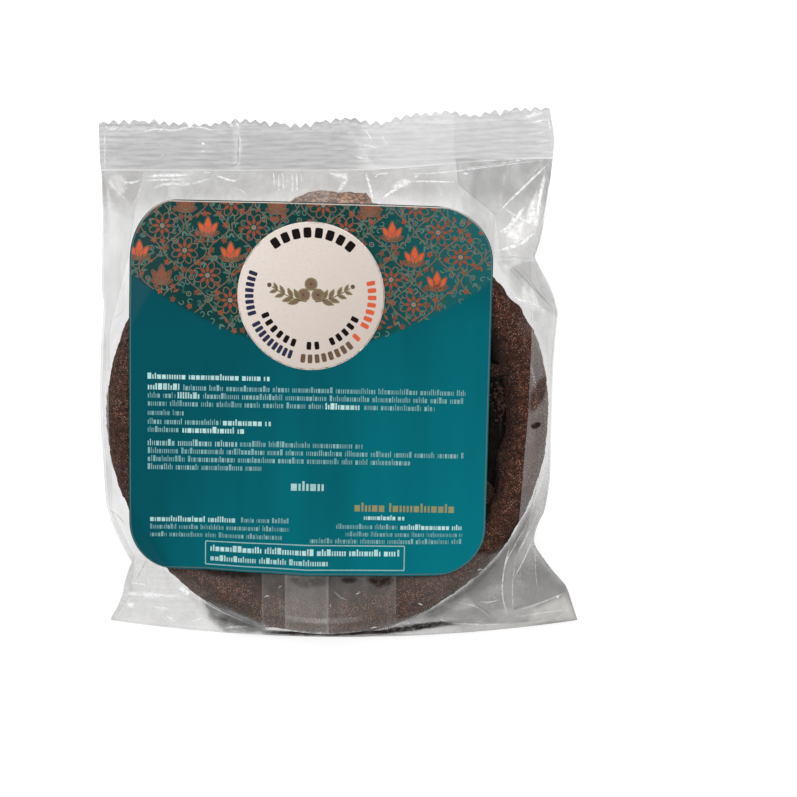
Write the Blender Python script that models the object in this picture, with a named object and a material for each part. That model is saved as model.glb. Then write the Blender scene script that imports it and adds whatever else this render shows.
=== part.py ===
# A round jam tart in a sealed film pack with a square label, lying on its back.
# X runs across the pack, Y along it from the folded end to the cut end, Z up.
import math

import bmesh
import bpy

MM = 0.001

# The tart inside sets the height of the pack
TART_CENTRE_X = -2.3 * MM
TART_CENTRE_Y = -9.7 * MM
TART_RADIUS = 52.4 * MM
TART_HEIGHT = 15.2 * MM
CREST_RADIUS = 47.4 * MM  # the film lies level inside the crest of the rim
BASE_RADIUS = 48.5 * MM  # the foot of the tart, which the pack rests on
SHOULDER_HEIGHT = 9.0 * MM  # the rim is round from here up to its crest
FILM_SLACK = 0.3 * MM
TOP_SAG = 0.5 * MM  # the film dips this much between the rims

# Half of the pack's side outlines, each as (distance along Y, distance along X)
LEFT_SIDE = (
    (-59.7 * MM, -55.4 * MM),
    (-54.9 * MM, -52.8 * MM),
    (-45.2 * MM, -50.4 * MM),
    (-40.0 * MM, -52.7 * MM),
    (-33.5 * MM, -55.3 * MM),
    (-10.5 * MM, -57.1 * MM),
    (17.0 * MM, -56.8 * MM),
    (46.0 * MM, -57.3 * MM),
    (60.0 * MM, -57.5 * MM),
)
RIGHT_SIDE = (
    (-59.7 * MM, 57.5 * MM),
    (-52.0 * MM, 55.0 * MM),
    (-47.9 * MM, 51.3 * MM),
    (-41.2 * MM, 46.9 * MM),
    (-37.5 * MM, 50.2 * MM),
    (-8.0 * MM, 51.2 * MM),
    (7.0 * MM, 52.1 * MM),
    (14.3 * MM, 52.5 * MM),
    (19.6 * MM, 50.6 * MM),
    (27.5 * MM, 46.7 * MM),
    (31.6 * MM, 48.5 * MM),
    (44.0 * MM, 50.7 * MM),
    (63.0 * MM, 51.1 * MM),
)

# Height of the upper and lower side creases, each as (along Y, height)
UPPER_CREASE = (
    (-59.7 * MM, 1.5 * MM),
    (-50.0 * MM, 2.6 * MM),
    (-42.0 * MM, 6.5 * MM),
    (-32.0 * MM, 10.2 * MM),
    (14.0 * MM, 10.8 * MM),
    (32.0 * MM, 9.2 * MM),
    (44.0 * MM, 7.4 * MM),
    (48.4 * MM, 6.0 * MM),
)
LOWER_CREASE = (
    (-59.7 * MM, 0.3 * MM),
    (-50.0 * MM, 0.6 * MM),
    (-42.0 * MM, 1.8 * MM),
    (-32.0 * MM, 3.6 * MM),
    (14.0 * MM, 3.8 * MM),
    (32.0 * MM, 3.4 * MM),
    (44.0 * MM, 4.0 * MM),
    (48.4 * MM, 5.4 * MM),
)

# How far the side gussets tuck in, each as (along Y, depth)
GUSSET_TUCK = (
    (-59.7 * MM, 0.2 * MM),
    (-54.0 * MM, 2.2 * MM),
    (-46.0 * MM, 1.6 * MM),
    (-38.0 * MM, 0.3 * MM),
    (12.0 * MM, 0.3 * MM),
    (24.0 * MM, 1.8 * MM),
    (38.0 * MM, 6.5 * MM),
    (44.5 * MM, 6.0 * MM),
    (47.6 * MM, 0.6 * MM),
    (48.4 * MM, 0.3 * MM),
)

# Ends of the pack, measured along Y
FOLDED_END = -63.8 * MM
FOLDED_END_BOW = 4.1 * MM  # the corners of the folded end lie this much further up
SEAL_LINE = 48.4 * MM  # where the crimped end seal starts
SEAL_LINE_RISE = 2.9 * MM  # and how much higher it is at the right
CUT_END = 60.1 * MM
CUT_END_RISE = 3.5 * MM
RISE_START = 0.52  # both rise from this part of the width on
FLAP_LENGTH = 15.5 * MM  # the bottom seal, folded flat under the pack
FLAP_THICKNESS = 0.5 * MM
FLAP_STEP = 0.4 * MM
FOLDED_END_TOP = 1.6 * MM
FOLDED_END_BOTTOM = 0.3 * MM

# The crimped end seal
SEAL_HEIGHT = 5.7 * MM
SEAL_THICKNESS = 0.5 * MM
SEAL_DROOP = 1.2 * MM
SEAL_WAVE = 0.8 * MM
SEAL_RIPPLE = 0.45 * MM
RIB_PITCH = 1.42 * MM
RIB_DEPTH = 0.22 * MM
TOOTH_DEPTH = 0.65 * MM
TEETH = 45
SEAL_ROWS = 2 * round((CUT_END - SEAL_LINE) / RIB_PITCH) + 1

# Relief of the film on the front
FIN_LEFT = -12.9 * MM  # the long seal that runs down under the label
FIN_RIGHT = -2.5 * MM
FIN_RELIEF = 0.25 * MM
PUFF = 1.4  # 1 is film as tight as a drum, more is rounder
PLEAT_PITCH = 15.0 * MM
PLEAT_DEPTH = 0.55 * MM
PLEAT_REACH = 9.0 * MM

# Rows and columns of faces
WALL_COLUMNS = 7
WALL_SHARE = 0.07
END_ROWS = 6
END_DEPTH = 7.5 * MM
FLAT_ROWS = 22
SLOPE_ROWS = 9
SLOPE_START = 30.0 * MM

# The label
LABEL_CENTRE_X = -6.6 * MM
LABEL_CENTRE_Y = -3.7 * MM
LABEL_WIDTH = 86.9 * MM
LABEL_LENGTH = 88.7 * MM
LABEL_TAPER = 0.8 * MM  # each lower corner lies this much further in
LABEL_TURN = math.radians(-1.1)
LABEL_CORNER = 13.2 * MM
LABEL_THICKNESS = 0.3 * MM
LABEL_GAP = 0.3 * MM
LABEL_REACH = 2.0 * MM  # the stiff label bridges dips narrower than this
LABEL_COLUMNS = 20
LABEL_CORNER_ROWS = 6
LABEL_MIDDLE_ROWS = 12


def blend(a, b, share):
    return a + (b - a) * share


def smooth(share):
    share = min(max(share, 0.0), 1.0)
    return share * share * (3.0 - 2.0 * share)


def along(points, place):
    # Straight stretches between creases, level past both ends
    if place <= points[0][0]:
        return points[0][1]
    for (start, low), (end, high) in zip(points, points[1:]):
        if place <= end:
            return blend(low, high, (place - start) / (end - start))
    return points[-1][1]


def folded_end(share):
    return FOLDED_END + FOLDED_END_BOW * (2.0 * share - 1.0) ** 2


def seal_line(share):
    return SEAL_LINE + SEAL_LINE_RISE * smooth((share - RISE_START) / (1.0 - RISE_START))


def cut_end(share):
    return CUT_END + CUT_END_RISE * smooth((share - RISE_START) / (1.0 - RISE_START))


def across(x, y):
    left = along(LEFT_SIDE, y)
    return (x - left) / (along(RIGHT_SIDE, y) - left)


def edge_distances(x, y):
    share = min(max(across(x, y), 0.0), 1.0)
    tiny = 0.01 * MM
    side = min(x - along(LEFT_SIDE, y), along(RIGHT_SIDE, y) - x)
    return [max(gap, tiny) for gap in (side, y - folded_end(share), seal_line(share) - y)]


def nearest_edge(gaps):
    # A rounded minimum, so that ridges between two edges are soft
    return sum(gap ** -3 for gap in gaps) ** (-1.0 / 3.0)


def edge_height(gaps, heights):
    weights = [1.0 / gap ** 2 for gap in gaps]
    return sum(w * h for w, h in zip(weights, heights)) / sum(weights)


def from_tart(x, y):
    return math.hypot(x - TART_CENTRE_X, y - TART_CENTRE_Y)


def rim_height(distance):
    # The rim of the tart with the film tight over it
    if distance >= TART_RADIUS:
        return 0.0
    out = max(distance - CREST_RADIUS, 0.0) / (TART_RADIUS - CREST_RADIUS)
    return SHOULDER_HEIGHT + (TART_HEIGHT - SHOULDER_HEIGHT) * math.sqrt(1.0 - out * out) + FILM_SLACK


def seal_middle(x, y):
    share = across(x, y)
    depth = (y - seal_line(share)) / (cut_end(share) - seal_line(share))
    free = min(max(depth, 0.0), 1.0)
    wave = SEAL_WAVE * math.sin(2.0 * math.pi * share * 1.7 + 0.4)
    ripple = SEAL_RIPPLE * math.sin(2.0 * math.pi * share * 5.3 + 1.1)
    return SEAL_HEIGHT + (wave + ripple) * (0.25 + 0.75 * free) - SEAL_DROOP * free


def pleats(x, gap_to_seal):
    fade = math.exp(-gap_to_seal / PLEAT_REACH) * smooth(gap_to_seal / (3.0 * MM))
    return PLEAT_DEPTH * math.sin(2.0 * math.pi * x / PLEAT_PITCH + 0.7) * fade


def fin_relief(x):
    edge = 0.6 * MM
    return FIN_RELIEF * smooth((x - FIN_LEFT) / edge) * smooth((FIN_RIGHT - x) / edge)


def upper_film(x, y):
    gaps = edge_distances(x, y)
    half_seal = SEAL_THICKNESS / 2.0
    heights = (along(UPPER_CREASE, y), FOLDED_END_TOP, seal_middle(x, y) + half_seal)
    low = edge_height(gaps, heights)
    distance = from_tart(x, y)
    outside = max(distance - CREST_RADIUS, 0.0)
    gap = nearest_edge(gaps)
    share = 1.0 - (1.0 - gap / (gap + outside)) ** PUFF
    top = TART_HEIGHT + FILM_SLACK
    sag = TOP_SAG * (1.0 - min(distance / CREST_RADIUS, 1.0) ** 2)
    drape = blend(low, top, share) + pleats(x, gaps[2]) - sag
    return max(drape, rim_height(distance) - sag) + fin_relief(x) * share


def rest_height(y):
    # The pack rests on its folded seal and on the far edge of its base
    flap_end = FOLDED_END + FLAP_LENGTH
    if y <= flap_end:
        return 0.0
    far_edge = TART_CENTRE_Y + BASE_RADIUS
    rise = smooth((y - flap_end) / FLAP_STEP)
    return FLAP_THICKNESS * rise * max(1.0 - (y - flap_end) / (far_edge - flap_end), 0.0)


def lower_film(x, y):
    gaps = edge_distances(x, y)
    half_seal = SEAL_THICKNESS / 2.0
    heights = (along(LOWER_CREASE, y), FOLDED_END_BOTTOM, seal_middle(x, y) - half_seal)
    high = edge_height(gaps, heights)
    outside = max(from_tart(x, y) - BASE_RADIUS, 0.0)
    gap = nearest_edge(gaps)
    return blend(high, rest_height(y), 1.0 - (1.0 - gap / (gap + outside)) ** PUFF)


def column_shares(evenness):
    # Columns crowd at the steep side walls, and are even along the cut end
    middle = TEETH - 2 * WALL_COLUMNS
    shares = []
    for column in range(TEETH + 1):
        if column <= WALL_COLUMNS:
            crowded = WALL_SHARE * column / WALL_COLUMNS
        elif column >= TEETH - WALL_COLUMNS:
            crowded = 1.0 - WALL_SHARE * (TEETH - column) / WALL_COLUMNS
        else:
            crowded = blend(WALL_SHARE, 1.0 - WALL_SHARE, (column - WALL_COLUMNS) / middle)
        shares.append(blend(crowded, column / TEETH, evenness))
    return shares


def body_rows():
    # Distances from the folded end, as shares of the way to the seal line
    length = SEAL_LINE - FOLDED_END
    rows = [END_DEPTH * (row / END_ROWS) ** 1.4 for row in range(END_ROWS)]
    flat_start = END_DEPTH
    flat_end = SLOPE_START - FOLDED_END
    flat = [blend(flat_start, flat_end, row / FLAT_ROWS) for row in range(FLAT_ROWS)]
    flat = [place for place in flat if abs(place - FLAP_LENGTH) > 1.2 * MM]
    flat += [FLAP_LENGTH, FLAP_LENGTH + FLAP_STEP]
    rows += sorted(flat)
    rows += [blend(flat_end, length, row / SLOPE_ROWS) for row in range(SLOPE_ROWS)]
    return [place / length for place in rows]


def place_on_pack(share, start, end, way):
    y = blend(start, end, way)
    left = along(LEFT_SIDE, y)
    return blend(left, along(RIGHT_SIDE, y), share), y


def ring(points_above, points_below, crease_left, crease_right):
    return points_above + [crease_right] + points_below[::-1] + [crease_left]


def body_ring(way):
    evenness = smooth((way - 0.75) / 0.25)
    above, below = [], []
    for share in column_shares(evenness):
        x, y = place_on_pack(share, folded_end(share), seal_line(share), way)
        above.append((x, y, upper_film(x, y)))
        below.append((x, y, lower_film(x, y)))
    left, right = gusset_points(above, below)
    return ring(above, below, left, right)


def gusset_points(above, below):
    points = []
    for end, inward in ((0, 1.0), (-1, -1.0)):
        x, y, high = above[end]
        low = below[end][2]
        points.append((x + inward * along(GUSSET_TUCK, y), y, (high + low) / 2.0))
    return points


def seal_ring(row):
    # Ribs run across the seal, a ridge and a groove to each pitch
    way = row / SEAL_ROWS
    half_seal = SEAL_THICKNESS / 2.0
    rib = RIB_DEPTH * (0.5 if row % 2 else -0.5) if 0 < row < SEAL_ROWS else 0.0
    above, below = [], []
    for share in column_shares(1.0):
        x, y = place_on_pack(share, seal_line(share), cut_end(share), way)
        middle = seal_middle(x, y) + rib
        above.append((x, y, middle + half_seal))
        below.append((x, y, middle - half_seal))
    tuck = 0.2 * MM
    left = (above[0][0] + tuck, above[0][1], (above[0][2] + below[0][2]) / 2.0)
    right = (above[-1][0] - tuck, above[-1][1], (above[-1][2] + below[-1][2]) / 2.0)
    return ring(above, below, left, right)


def join_rings(mesh, first, second):
    count = len(first)
    for index in range(count):
        follower = (index + 1) % count
        mesh.faces.new((first[index], first[follower], second[follower], second[index]))


def close_folded_end(mesh, loop):
    above, below = loop[: TEETH + 1], loop[TEETH + 2 : 2 * TEETH + 3][::-1]
    for index in range(TEETH):
        mesh.faces.new((above[index], above[index + 1], below[index + 1], below[index]))
    mesh.faces.new((above[0], below[0], loop[-1]))
    mesh.faces.new((above[-1], loop[TEETH + 1], below[-1]))


def cut_teeth(mesh, loop):
    above, below = loop[: TEETH + 1], loop[TEETH + 2 : 2 * TEETH + 3][::-1]
    for index in range(TEETH):
        tips = []
        for side in (above, below):
            tip = (side[index].co + side[index + 1].co) / 2.0
            tip.y += TOOTH_DEPTH
            tips.append(mesh.verts.new(tip))
        mesh.faces.new((above[index], above[index + 1], tips[0]))
        mesh.faces.new((below[index], tips[1], below[index + 1]))
        mesh.faces.new((above[index], tips[0], tips[1], below[index]))
        mesh.faces.new((tips[0], above[index + 1], below[index + 1], tips[1]))
    mesh.faces.new((above[0], below[0], loop[-1]))
    mesh.faces.new((above[-1], loop[TEETH + 1], below[-1]))


def finished_object(name, mesh, material):
    bmesh.ops.recalc_face_normals(mesh, faces=mesh.faces)
    bmesh.ops.triangulate(mesh, faces=mesh.faces)
    data = bpy.data.meshes.new(name)
    mesh.to_mesh(data)
    mesh.free()
    data.materials.append(material)
    data.shade_smooth()
    data.set_sharp_from_angle(angle=math.radians(35.0))
    obj = bpy.data.objects.new(name, data)
    bpy.context.scene.collection.objects.link(obj)
    return obj


def film_material():
    material = bpy.data.materials.new("clear_film")
    material.use_nodes = True
    shader = material.node_tree.nodes["Principled BSDF"]
    shader.inputs["Base Color"].default_value = (0.62, 0.6, 0.58, 1.0)
    shader.inputs["Roughness"].default_value = 0.2
    shader.inputs["Metallic"].default_value = 0.0
    return material


def label_material():
    material = bpy.data.materials.new("printed_label")
    material.use_nodes = True
    shader = material.node_tree.nodes["Principled BSDF"]
    shader.inputs["Base Color"].default_value = (0.002, 0.115, 0.135, 1.0)
    shader.inputs["Roughness"].default_value = 0.45
    shader.inputs["Metallic"].default_value = 0.0
    return material


def film_bag():
    mesh = bmesh.new()
    rings = [body_ring(way) for way in body_rows()]
    rings += [seal_ring(row) for row in range(SEAL_ROWS + 1)]
    loops = [[mesh.verts.new(point) for point in points] for points in rings]
    for first, second in zip(loops, loops[1:]):
        join_rings(mesh, first, second)
    close_folded_end(mesh, loops[0])
    cut_teeth(mesh, loops[-1])
    return finished_object("film_bag", mesh, film_material())


def label_rows():
    # Heights over the label's middle and the half width there, round the corners
    half_width = LABEL_WIDTH / 2.0
    half_length = LABEL_LENGTH / 2.0
    straight = half_length - LABEL_CORNER
    rows = []
    for step in range(LABEL_CORNER_ROWS):
        turn = math.radians(90.0) * (1.0 - step / LABEL_CORNER_ROWS)
        inset = LABEL_CORNER * (1.0 - math.cos(turn))
        rows.append((straight + LABEL_CORNER * math.sin(turn), half_width - inset))
    for step in range(LABEL_MIDDLE_ROWS // 2 + 1):
        rows.append((straight * (1.0 - 2.0 * step / LABEL_MIDDLE_ROWS), half_width))
    return rows + [(-height, width) for height, width in rows[-2::-1]]


def label_height(x, y):
    places = [(x, y)]
    for turn in range(8):
        angle = turn * math.pi / 4.0
        places.append((x + LABEL_REACH * math.cos(angle), y + LABEL_REACH * math.sin(angle)))
    return max(upper_film(*place) for place in places) + LABEL_GAP


def label_point(sideways, height):
    narrow = LABEL_TAPER * (0.5 - height / LABEL_LENGTH)
    flat_x = sideways * (1.0 - narrow / (LABEL_WIDTH / 2.0))
    x = LABEL_CENTRE_X + flat_x * math.cos(LABEL_TURN) - height * math.sin(LABEL_TURN)
    y = LABEL_CENTRE_Y + flat_x * math.sin(LABEL_TURN) + height * math.cos(LABEL_TURN)
    return x, y, label_height(x, y)


def label():
    mesh = bmesh.new()
    loops = []
    for height, half_width in label_rows():
        under = []
        for column in range(LABEL_COLUMNS + 1):
            sideways = half_width * (2.0 * column / LABEL_COLUMNS - 1.0)
            under.append(label_point(sideways, height))
        over = [(x, y, z + LABEL_THICKNESS) for x, y, z in under]
        loops.append([mesh.verts.new(point) for point in over + under[::-1]])
    for first, second in zip(loops, loops[1:]):
        join_rings(mesh, first, second)
    last = 2 * LABEL_COLUMNS + 1
    for loop in (loops[0], loops[-1]):
        for index in range(LABEL_COLUMNS):
            mesh.faces.new((loop[index], loop[index + 1], loop[last - index - 1], loop[last - index]))
    return finished_object("label", mesh, label_material())


def set_on_origin(objects):
    # The origin is the middle of the pack's box, at its foot
    corners = [vertex.co for obj in objects for vertex in obj.data.vertices]
    lows = [min(corner[axis] for corner in corners) for axis in range(3)]
    highs = [max(corner[axis] for corner in corners) for axis in range(3)]
    shift = [-(lows[0] + highs[0]) / 2.0, -(lows[1] + highs[1]) / 2.0, -lows[2]]
    for obj in objects:
        for vertex in obj.data.vertices:
            vertex.co.x += shift[0]
            vertex.co.y += shift[1]
            vertex.co.z += shift[2]


def clear_scene():
    for obj in list(bpy.data.objects):
        bpy.data.objects.remove(obj)


def main():
    clear_scene()
    set_on_origin([film_bag(), label()])


main()
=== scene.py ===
import math

import bmesh
import bpy
import numpy as np
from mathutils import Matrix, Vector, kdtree, noise


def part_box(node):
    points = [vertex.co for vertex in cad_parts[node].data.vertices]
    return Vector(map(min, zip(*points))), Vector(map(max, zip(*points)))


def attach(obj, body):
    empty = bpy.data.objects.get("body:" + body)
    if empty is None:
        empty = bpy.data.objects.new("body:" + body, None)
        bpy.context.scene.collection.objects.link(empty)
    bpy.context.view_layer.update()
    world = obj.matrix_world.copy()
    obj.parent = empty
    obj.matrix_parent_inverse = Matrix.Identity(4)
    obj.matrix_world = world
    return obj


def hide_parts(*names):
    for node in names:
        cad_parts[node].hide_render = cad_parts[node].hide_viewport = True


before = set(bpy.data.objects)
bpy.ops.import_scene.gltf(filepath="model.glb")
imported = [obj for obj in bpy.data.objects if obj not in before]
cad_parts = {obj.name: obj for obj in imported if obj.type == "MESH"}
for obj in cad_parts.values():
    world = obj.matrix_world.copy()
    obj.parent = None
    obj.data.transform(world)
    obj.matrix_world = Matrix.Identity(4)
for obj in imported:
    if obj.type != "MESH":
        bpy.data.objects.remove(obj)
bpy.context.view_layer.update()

# Lengths are in millimetres and places are in the pack's own frame: x to the right of the label,
# y from the folded end to the cut end, z up through the label.
mm = 0.001
tau = 2.0 * math.pi

pack = {
    "lowEnd": -63.8,  # the solid's end; the film's fold lies a little beyond it
    "foldedEnd": -64.2,
    "foldedBow": 4.1,  # the corners of the folded end lie this much higher up
    "sealLine": 48.4,  # where the crimped end seal starts
    "sealLineRise": 2.9,  # how much higher it is at the right
    "cutEnd": 60.1,
    "cutEndRise": 3.5,
    "riseStart": 0.52,  # share of the width from where the seal and the cut end rise
    "flapLength": 15.5,  # the folded end turns under the base
    "flapThickness": 0.5,
    "foldedTop": 1.6,
    "foldedBottom": 0.6,
    "puff": 1.4,  # how fast the film climbs from its edges onto the tart
}
leftSide = (  # y and x along the pack's left edge
    (-59.7, -55.5), (-57.0, -53.9), (-54.2, -52.7), (-50.4, -51.9), (-47.3, -50.8), (-45.8, -50.1),
    (-44.6, -50.9), (-40.8, -52.9), (-37.0, -54.4), (-32.8, -55.7), (-27.4, -56.2), (-19.8, -56.7),
    (-12.1, -57.2), (-4.4, -57.4), (6.1, -57.1), (13.2, -56.6), (16.7, -56.4), (19.5, -56.9),
    (30.8, -56.9), (37.9, -56.8), (47.4, -57.3), (50.0, -57.7), (60.0, -58.1),
)
rightSide = (
    (-60.0, 57.5), (-56.8, 56.4), (-53.3, 55.3), (-51.5, 54.5), (-49.8, 53.0), (-48.0, 51.4),
    (-46.3, 50.1), (-44.5, 48.8), (-42.7, 47.5), (-41.0, 46.8), (-39.2, 46.9), (-37.4, 47.4),
    (-35.7, 48.1), (-33.9, 49.0), (-32.1, 49.5), (-26.0, 50.5), (-11.6, 50.9), (0.8, 51.2), (7.5, 51.7),
    (12.6, 52.3), (14.6, 52.3), (17.6, 51.6), (20.3, 50.6), (22.3, 49.6), (24.7, 48.2), (27.4, 46.9),
    (29.4, 47.5), (31.4, 48.2), (34.5, 48.9), (41.2, 49.8), (46.1, 50.7), (51.8, 51.4), (56.0, 51.8),
    (59.5, 51.3), (63.0, 50.8),
)
upperCrease = (  # y and height of the side edges of the front film
    (-59.7, 1.5), (-50.0, 2.6), (-42.0, 6.5), (-32.0, 10.2), (14.0, 10.8), (32.0, 9.2), (44.0, 7.4),
    (48.4, 6.0),
)
lowerCrease = (  # and of the back film
    (-59.7, 0.3), (-50.0, 0.6), (-42.0, 1.8), (-32.0, 3.6), (14.0, 3.8), (32.0, 3.4), (44.0, 4.0),
    (48.4, 5.4),
)
leftFold = (  # y and x of the inner fold of the left gusset
    (-59.7, -54.5), (-54.0, -50.5), (-45.0, -49.4), (-33.5, -54.6), (9.5, -55.3), (27.3, -50.8),
    (39.5, -49.1), (46.7, -47.5), (49.0, -47.0),
)
rightFold = (
    (-59.7, 56.0), (-52.0, 44.0), (-45.3, 42.2), (-21.3, 44.1), (-10.2, 45.1), (9.3, 46.0),
    (16.5, 46.2), (20.5, 44.2), (26.8, 38.8), (37.6, 37.4), (45.0, 28.5), (52.0, 27.8),
)
tart = {
    "x": -2.75,
    "y": -9.6,
    "radius": 53.4,
    "height": 15.2,
    "crest": 48.2,
    "base": 48.9,
    "shoulder": 9.0,
    "slack": 0.3,  # room between crust and film
    "sag": 0.5,
}
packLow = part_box("film_bag")[0]
shiftY = packLow.y / mm - pack["lowEnd"]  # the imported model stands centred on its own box


def blend(a, b, share):
    return a + (b - a) * share


def smooth(share):
    share = np.clip(share, 0.0, 1.0)
    return share * share * (3.0 - 2.0 * share)


def past(value, edge, width):
    # grows from 0 to 1 over this width round the edge
    return smooth((value - edge) / width + 0.5)


def along(points, place):
    return np.interp(place, [p[0] for p in points], [p[1] for p in points])


def foldedEnd(share):
    return pack["foldedEnd"] + pack["foldedBow"] * (2.0 * share - 1.0) ** 2


def riseTo(share):
    return smooth((share - pack["riseStart"]) / (1.0 - pack["riseStart"]))


def sealLine(share):
    return pack["sealLine"] + pack["sealLineRise"] * riseTo(share)


def cutEnd(share):
    return pack["cutEnd"] + pack["cutEndRise"] * riseTo(share)


def across(x, y):
    left = along(leftSide, y)
    return np.clip((x - left) / (along(rightSide, y) - left), 0.0, 1.0)


def edgeDistances(x, y):
    share = across(x, y)
    side = np.minimum(x - along(leftSide, y), along(rightSide, y) - x)
    return [np.maximum(gap, 0.01) for gap in (side, y - foldedEnd(share), sealLine(share) - y)]


def nearestEdge(gaps):
    # about the smallest of these distances, without a kink where two of them are alike
    return sum(gap ** -3.0 for gap in gaps) ** (-1.0 / 3.0)


def edgeHeight(gaps, heights):
    # the height of the nearest edge, blended with the others' near a corner
    weights = [1.0 / gap ** 2 for gap in gaps]
    return sum(weight * height for weight, height in zip(weights, heights)) / sum(weights)


def fromTart(x, y):
    return np.hypot(x - tart["x"], y - tart["y"])


def rimHeight(distance):
    out = np.clip((distance - tart["crest"]) / (tart["radius"] - tart["crest"]), 0.0, 1.0)
    top = tart["shoulder"] + (tart["height"] - tart["shoulder"]) * np.sqrt(1.0 - out * out)
    return np.where(distance >= tart["radius"], 0.0, top + tart["slack"])


seal = {
    "height": 5.7,
    "gape": 0.12,  # half the gap between its two films at the seal line
    "droop": 1.2,
    "wave": 0.8,
    "ripple": 0.45,
    "teeth": 45,
    "toothDepth": 0.95,
    "ribPitch": 1.4,
    "ribDepth": 0.03,
    "halfThickness": 0.04,
    "veil": 0.285,
    "start": -0.015,  # it reaches this share of its length over the front film
    "rows": 73,
    "toothColumns": 7,
    "pleat": 0.55,  # height of the soft pleats that run from it into the film
    "pleatPitch": 15.0,
    "pleatReach": 9.0,
}


def sealMiddle(x, y):
    share = across(x, y)
    free = np.clip((y - sealLine(share)) / (cutEnd(share) - sealLine(share)), 0.0, 1.0)
    wave = seal["wave"] * np.sin(tau * share * 1.7 + 0.4)
    ripple = seal["ripple"] * np.sin(tau * share * 5.3 + 1.1)
    return seal["height"] + (wave + ripple) * (0.25 + 0.75 * free) - seal["droop"] * free


def pleats(x, gap):
    wave = seal["pleat"] * np.sin(tau * x / seal["pleatPitch"] + 0.7)
    return wave * np.exp(-gap / seal["pleatReach"]) * smooth(gap / 3.0)


def upperFilm(x, y):
    # the front film, drawn from its edges over the tart's rim
    gaps = edgeDistances(x, y)
    heights = (along(upperCrease, y), pack["foldedTop"], sealMiddle(x, y) + seal["gape"])
    distance = fromTart(x, y)
    gap = nearestEdge(gaps)
    outside = np.maximum(distance - tart["crest"], 0.0)
    share = 1.0 - (1.0 - gap / (gap + outside)) ** pack["puff"]
    sag = tart["sag"] * (1.0 - np.minimum(distance / tart["crest"], 1.0) ** 2)
    drape = blend(edgeHeight(gaps, heights), tart["height"] + tart["slack"], share)
    return np.maximum(drape + pleats(x, gaps[2]) - sag, rimHeight(distance) - sag)


def restHeight(y):
    # the base lies on the folded flap at one end and on the ground at the other
    flapEnd = pack["foldedEnd"] + pack["flapLength"]
    farEdge = tart["y"] + tart["base"]
    slope = np.maximum(1.0 - (y - flapEnd) / (farEdge - flapEnd), 0.0)
    return np.where(y <= flapEnd, pack["flapThickness"], pack["flapThickness"] * slope)


def lowerFilm(x, y):
    # the back film, drawn from its edges to the tart's base
    gaps = edgeDistances(x, y)
    heights = (along(lowerCrease, y), pack["foldedBottom"], sealMiddle(x, y) - seal["gape"])
    outside = np.maximum(fromTart(x, y) - tart["base"], 0.0)
    gap = nearestEdge(gaps)
    share = 1.0 - (1.0 - gap / (gap + outside)) ** pack["puff"]
    return blend(edgeHeight(gaps, heights), restHeight(y) + 0.02, share)


label = {
    "x": -7.1,
    "y": -3.85,
    "width": 87.2,
    "length": 88.2,
    "taper": 1.3,  # each side comes in this much towards the lower end
    "lean": 0.0145,
    "slope": 0.0205,  # it lies a little turned, its upper edge more than its lower one
    "fan": 0.0148,
    "gap": 0.3,
    "thickness": 0.14,
    "reach": 2.0,  # how far the stiff paper bridges the film's folds
    "columns": 124,
    "cornerRows": 34,
    "middleRows": 92,
    "cornerLength": 15.0,
    "waveStart": 28.0,  # below its middle, where its sheet starts to follow the wavy lower edge
    "waveLength": 16.0,
}
corners = {  # width and height of each rounded corner
    "upperLeft": (11.4, 14.6),
    "upperRight": (14.2, 13.4),
    "lowerLeft": (10.9, 11.2),
    "lowerRight": (12.2, 11.0),
}
lowerWave = (  # how far the label's lower edge stands off a straight line
    (-43.6, 0.3), (-34.0, 0.55), (-25.0, 0.5), (-15.0, -0.1), (-8.0, -0.35), (0.0, -0.75), (12.0, -0.6),
    (24.0, -0.5), (34.0, -0.2), (43.6, 0.2),
)


def labelToPack(u, v):
    # u to the right and v up, from the label's middle
    narrow = label["taper"] * (0.5 - v / label["length"])
    x = label["x"] + u * (1.0 - narrow / (label["width"] / 2.0)) + label["lean"] * v
    y = label["y"] + v - u * (label["slope"] + label["fan"] * v / label["length"])
    return x, y + along(lowerWave, u) * smooth((-v - label["waveStart"]) / label["waveLength"])


def packToLabel(x, y):
    dx = x - label["x"]
    v = y - label["y"] + label["slope"] * dx
    return dx - label["lean"] * v, v


def sideOfLabel(v, upper, lower):
    # distance of the label's rounded side from its middle line
    width, height = np.where(v > 0.0, upper[0], lower[0]), np.where(v > 0.0, upper[1], lower[1])
    share = np.clip((np.abs(v) - (label["length"] / 2.0 - height)) / height, 0.0, 1.0)
    return label["width"] / 2.0 - width * (1.0 - np.sqrt(1.0 - share ** 2))


def labelSides(v):
    left = -sideOfLabel(v, corners["upperLeft"], corners["lowerLeft"])
    return left, sideOfLabel(v, corners["upperRight"], corners["lowerRight"])


def outsideOutline(u, v):
    # distance across from the label's rounded outline, negative inside it
    left, right = labelSides(v)
    return np.maximum.reduce([left - u, u - right, np.abs(v) - label["length"] / 2.0])


def outsideLabel(x, y):
    return outsideOutline(*packToLabel(x, y))


def noiseAt(x, y, size, seed):
    # smooth noise between -1 and 1, in lumps of about this size
    flat = [noise.noise((a / size, b / size, seed)) for a, b in zip(np.ravel(x), np.ravel(y))]
    return np.array(flat).reshape(np.shape(x))


def noiseOn(points, size, seed):
    return np.array([noise.noise((p[0] / size + seed, p[1] / size, p[2] / size)) for p in points])


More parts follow.
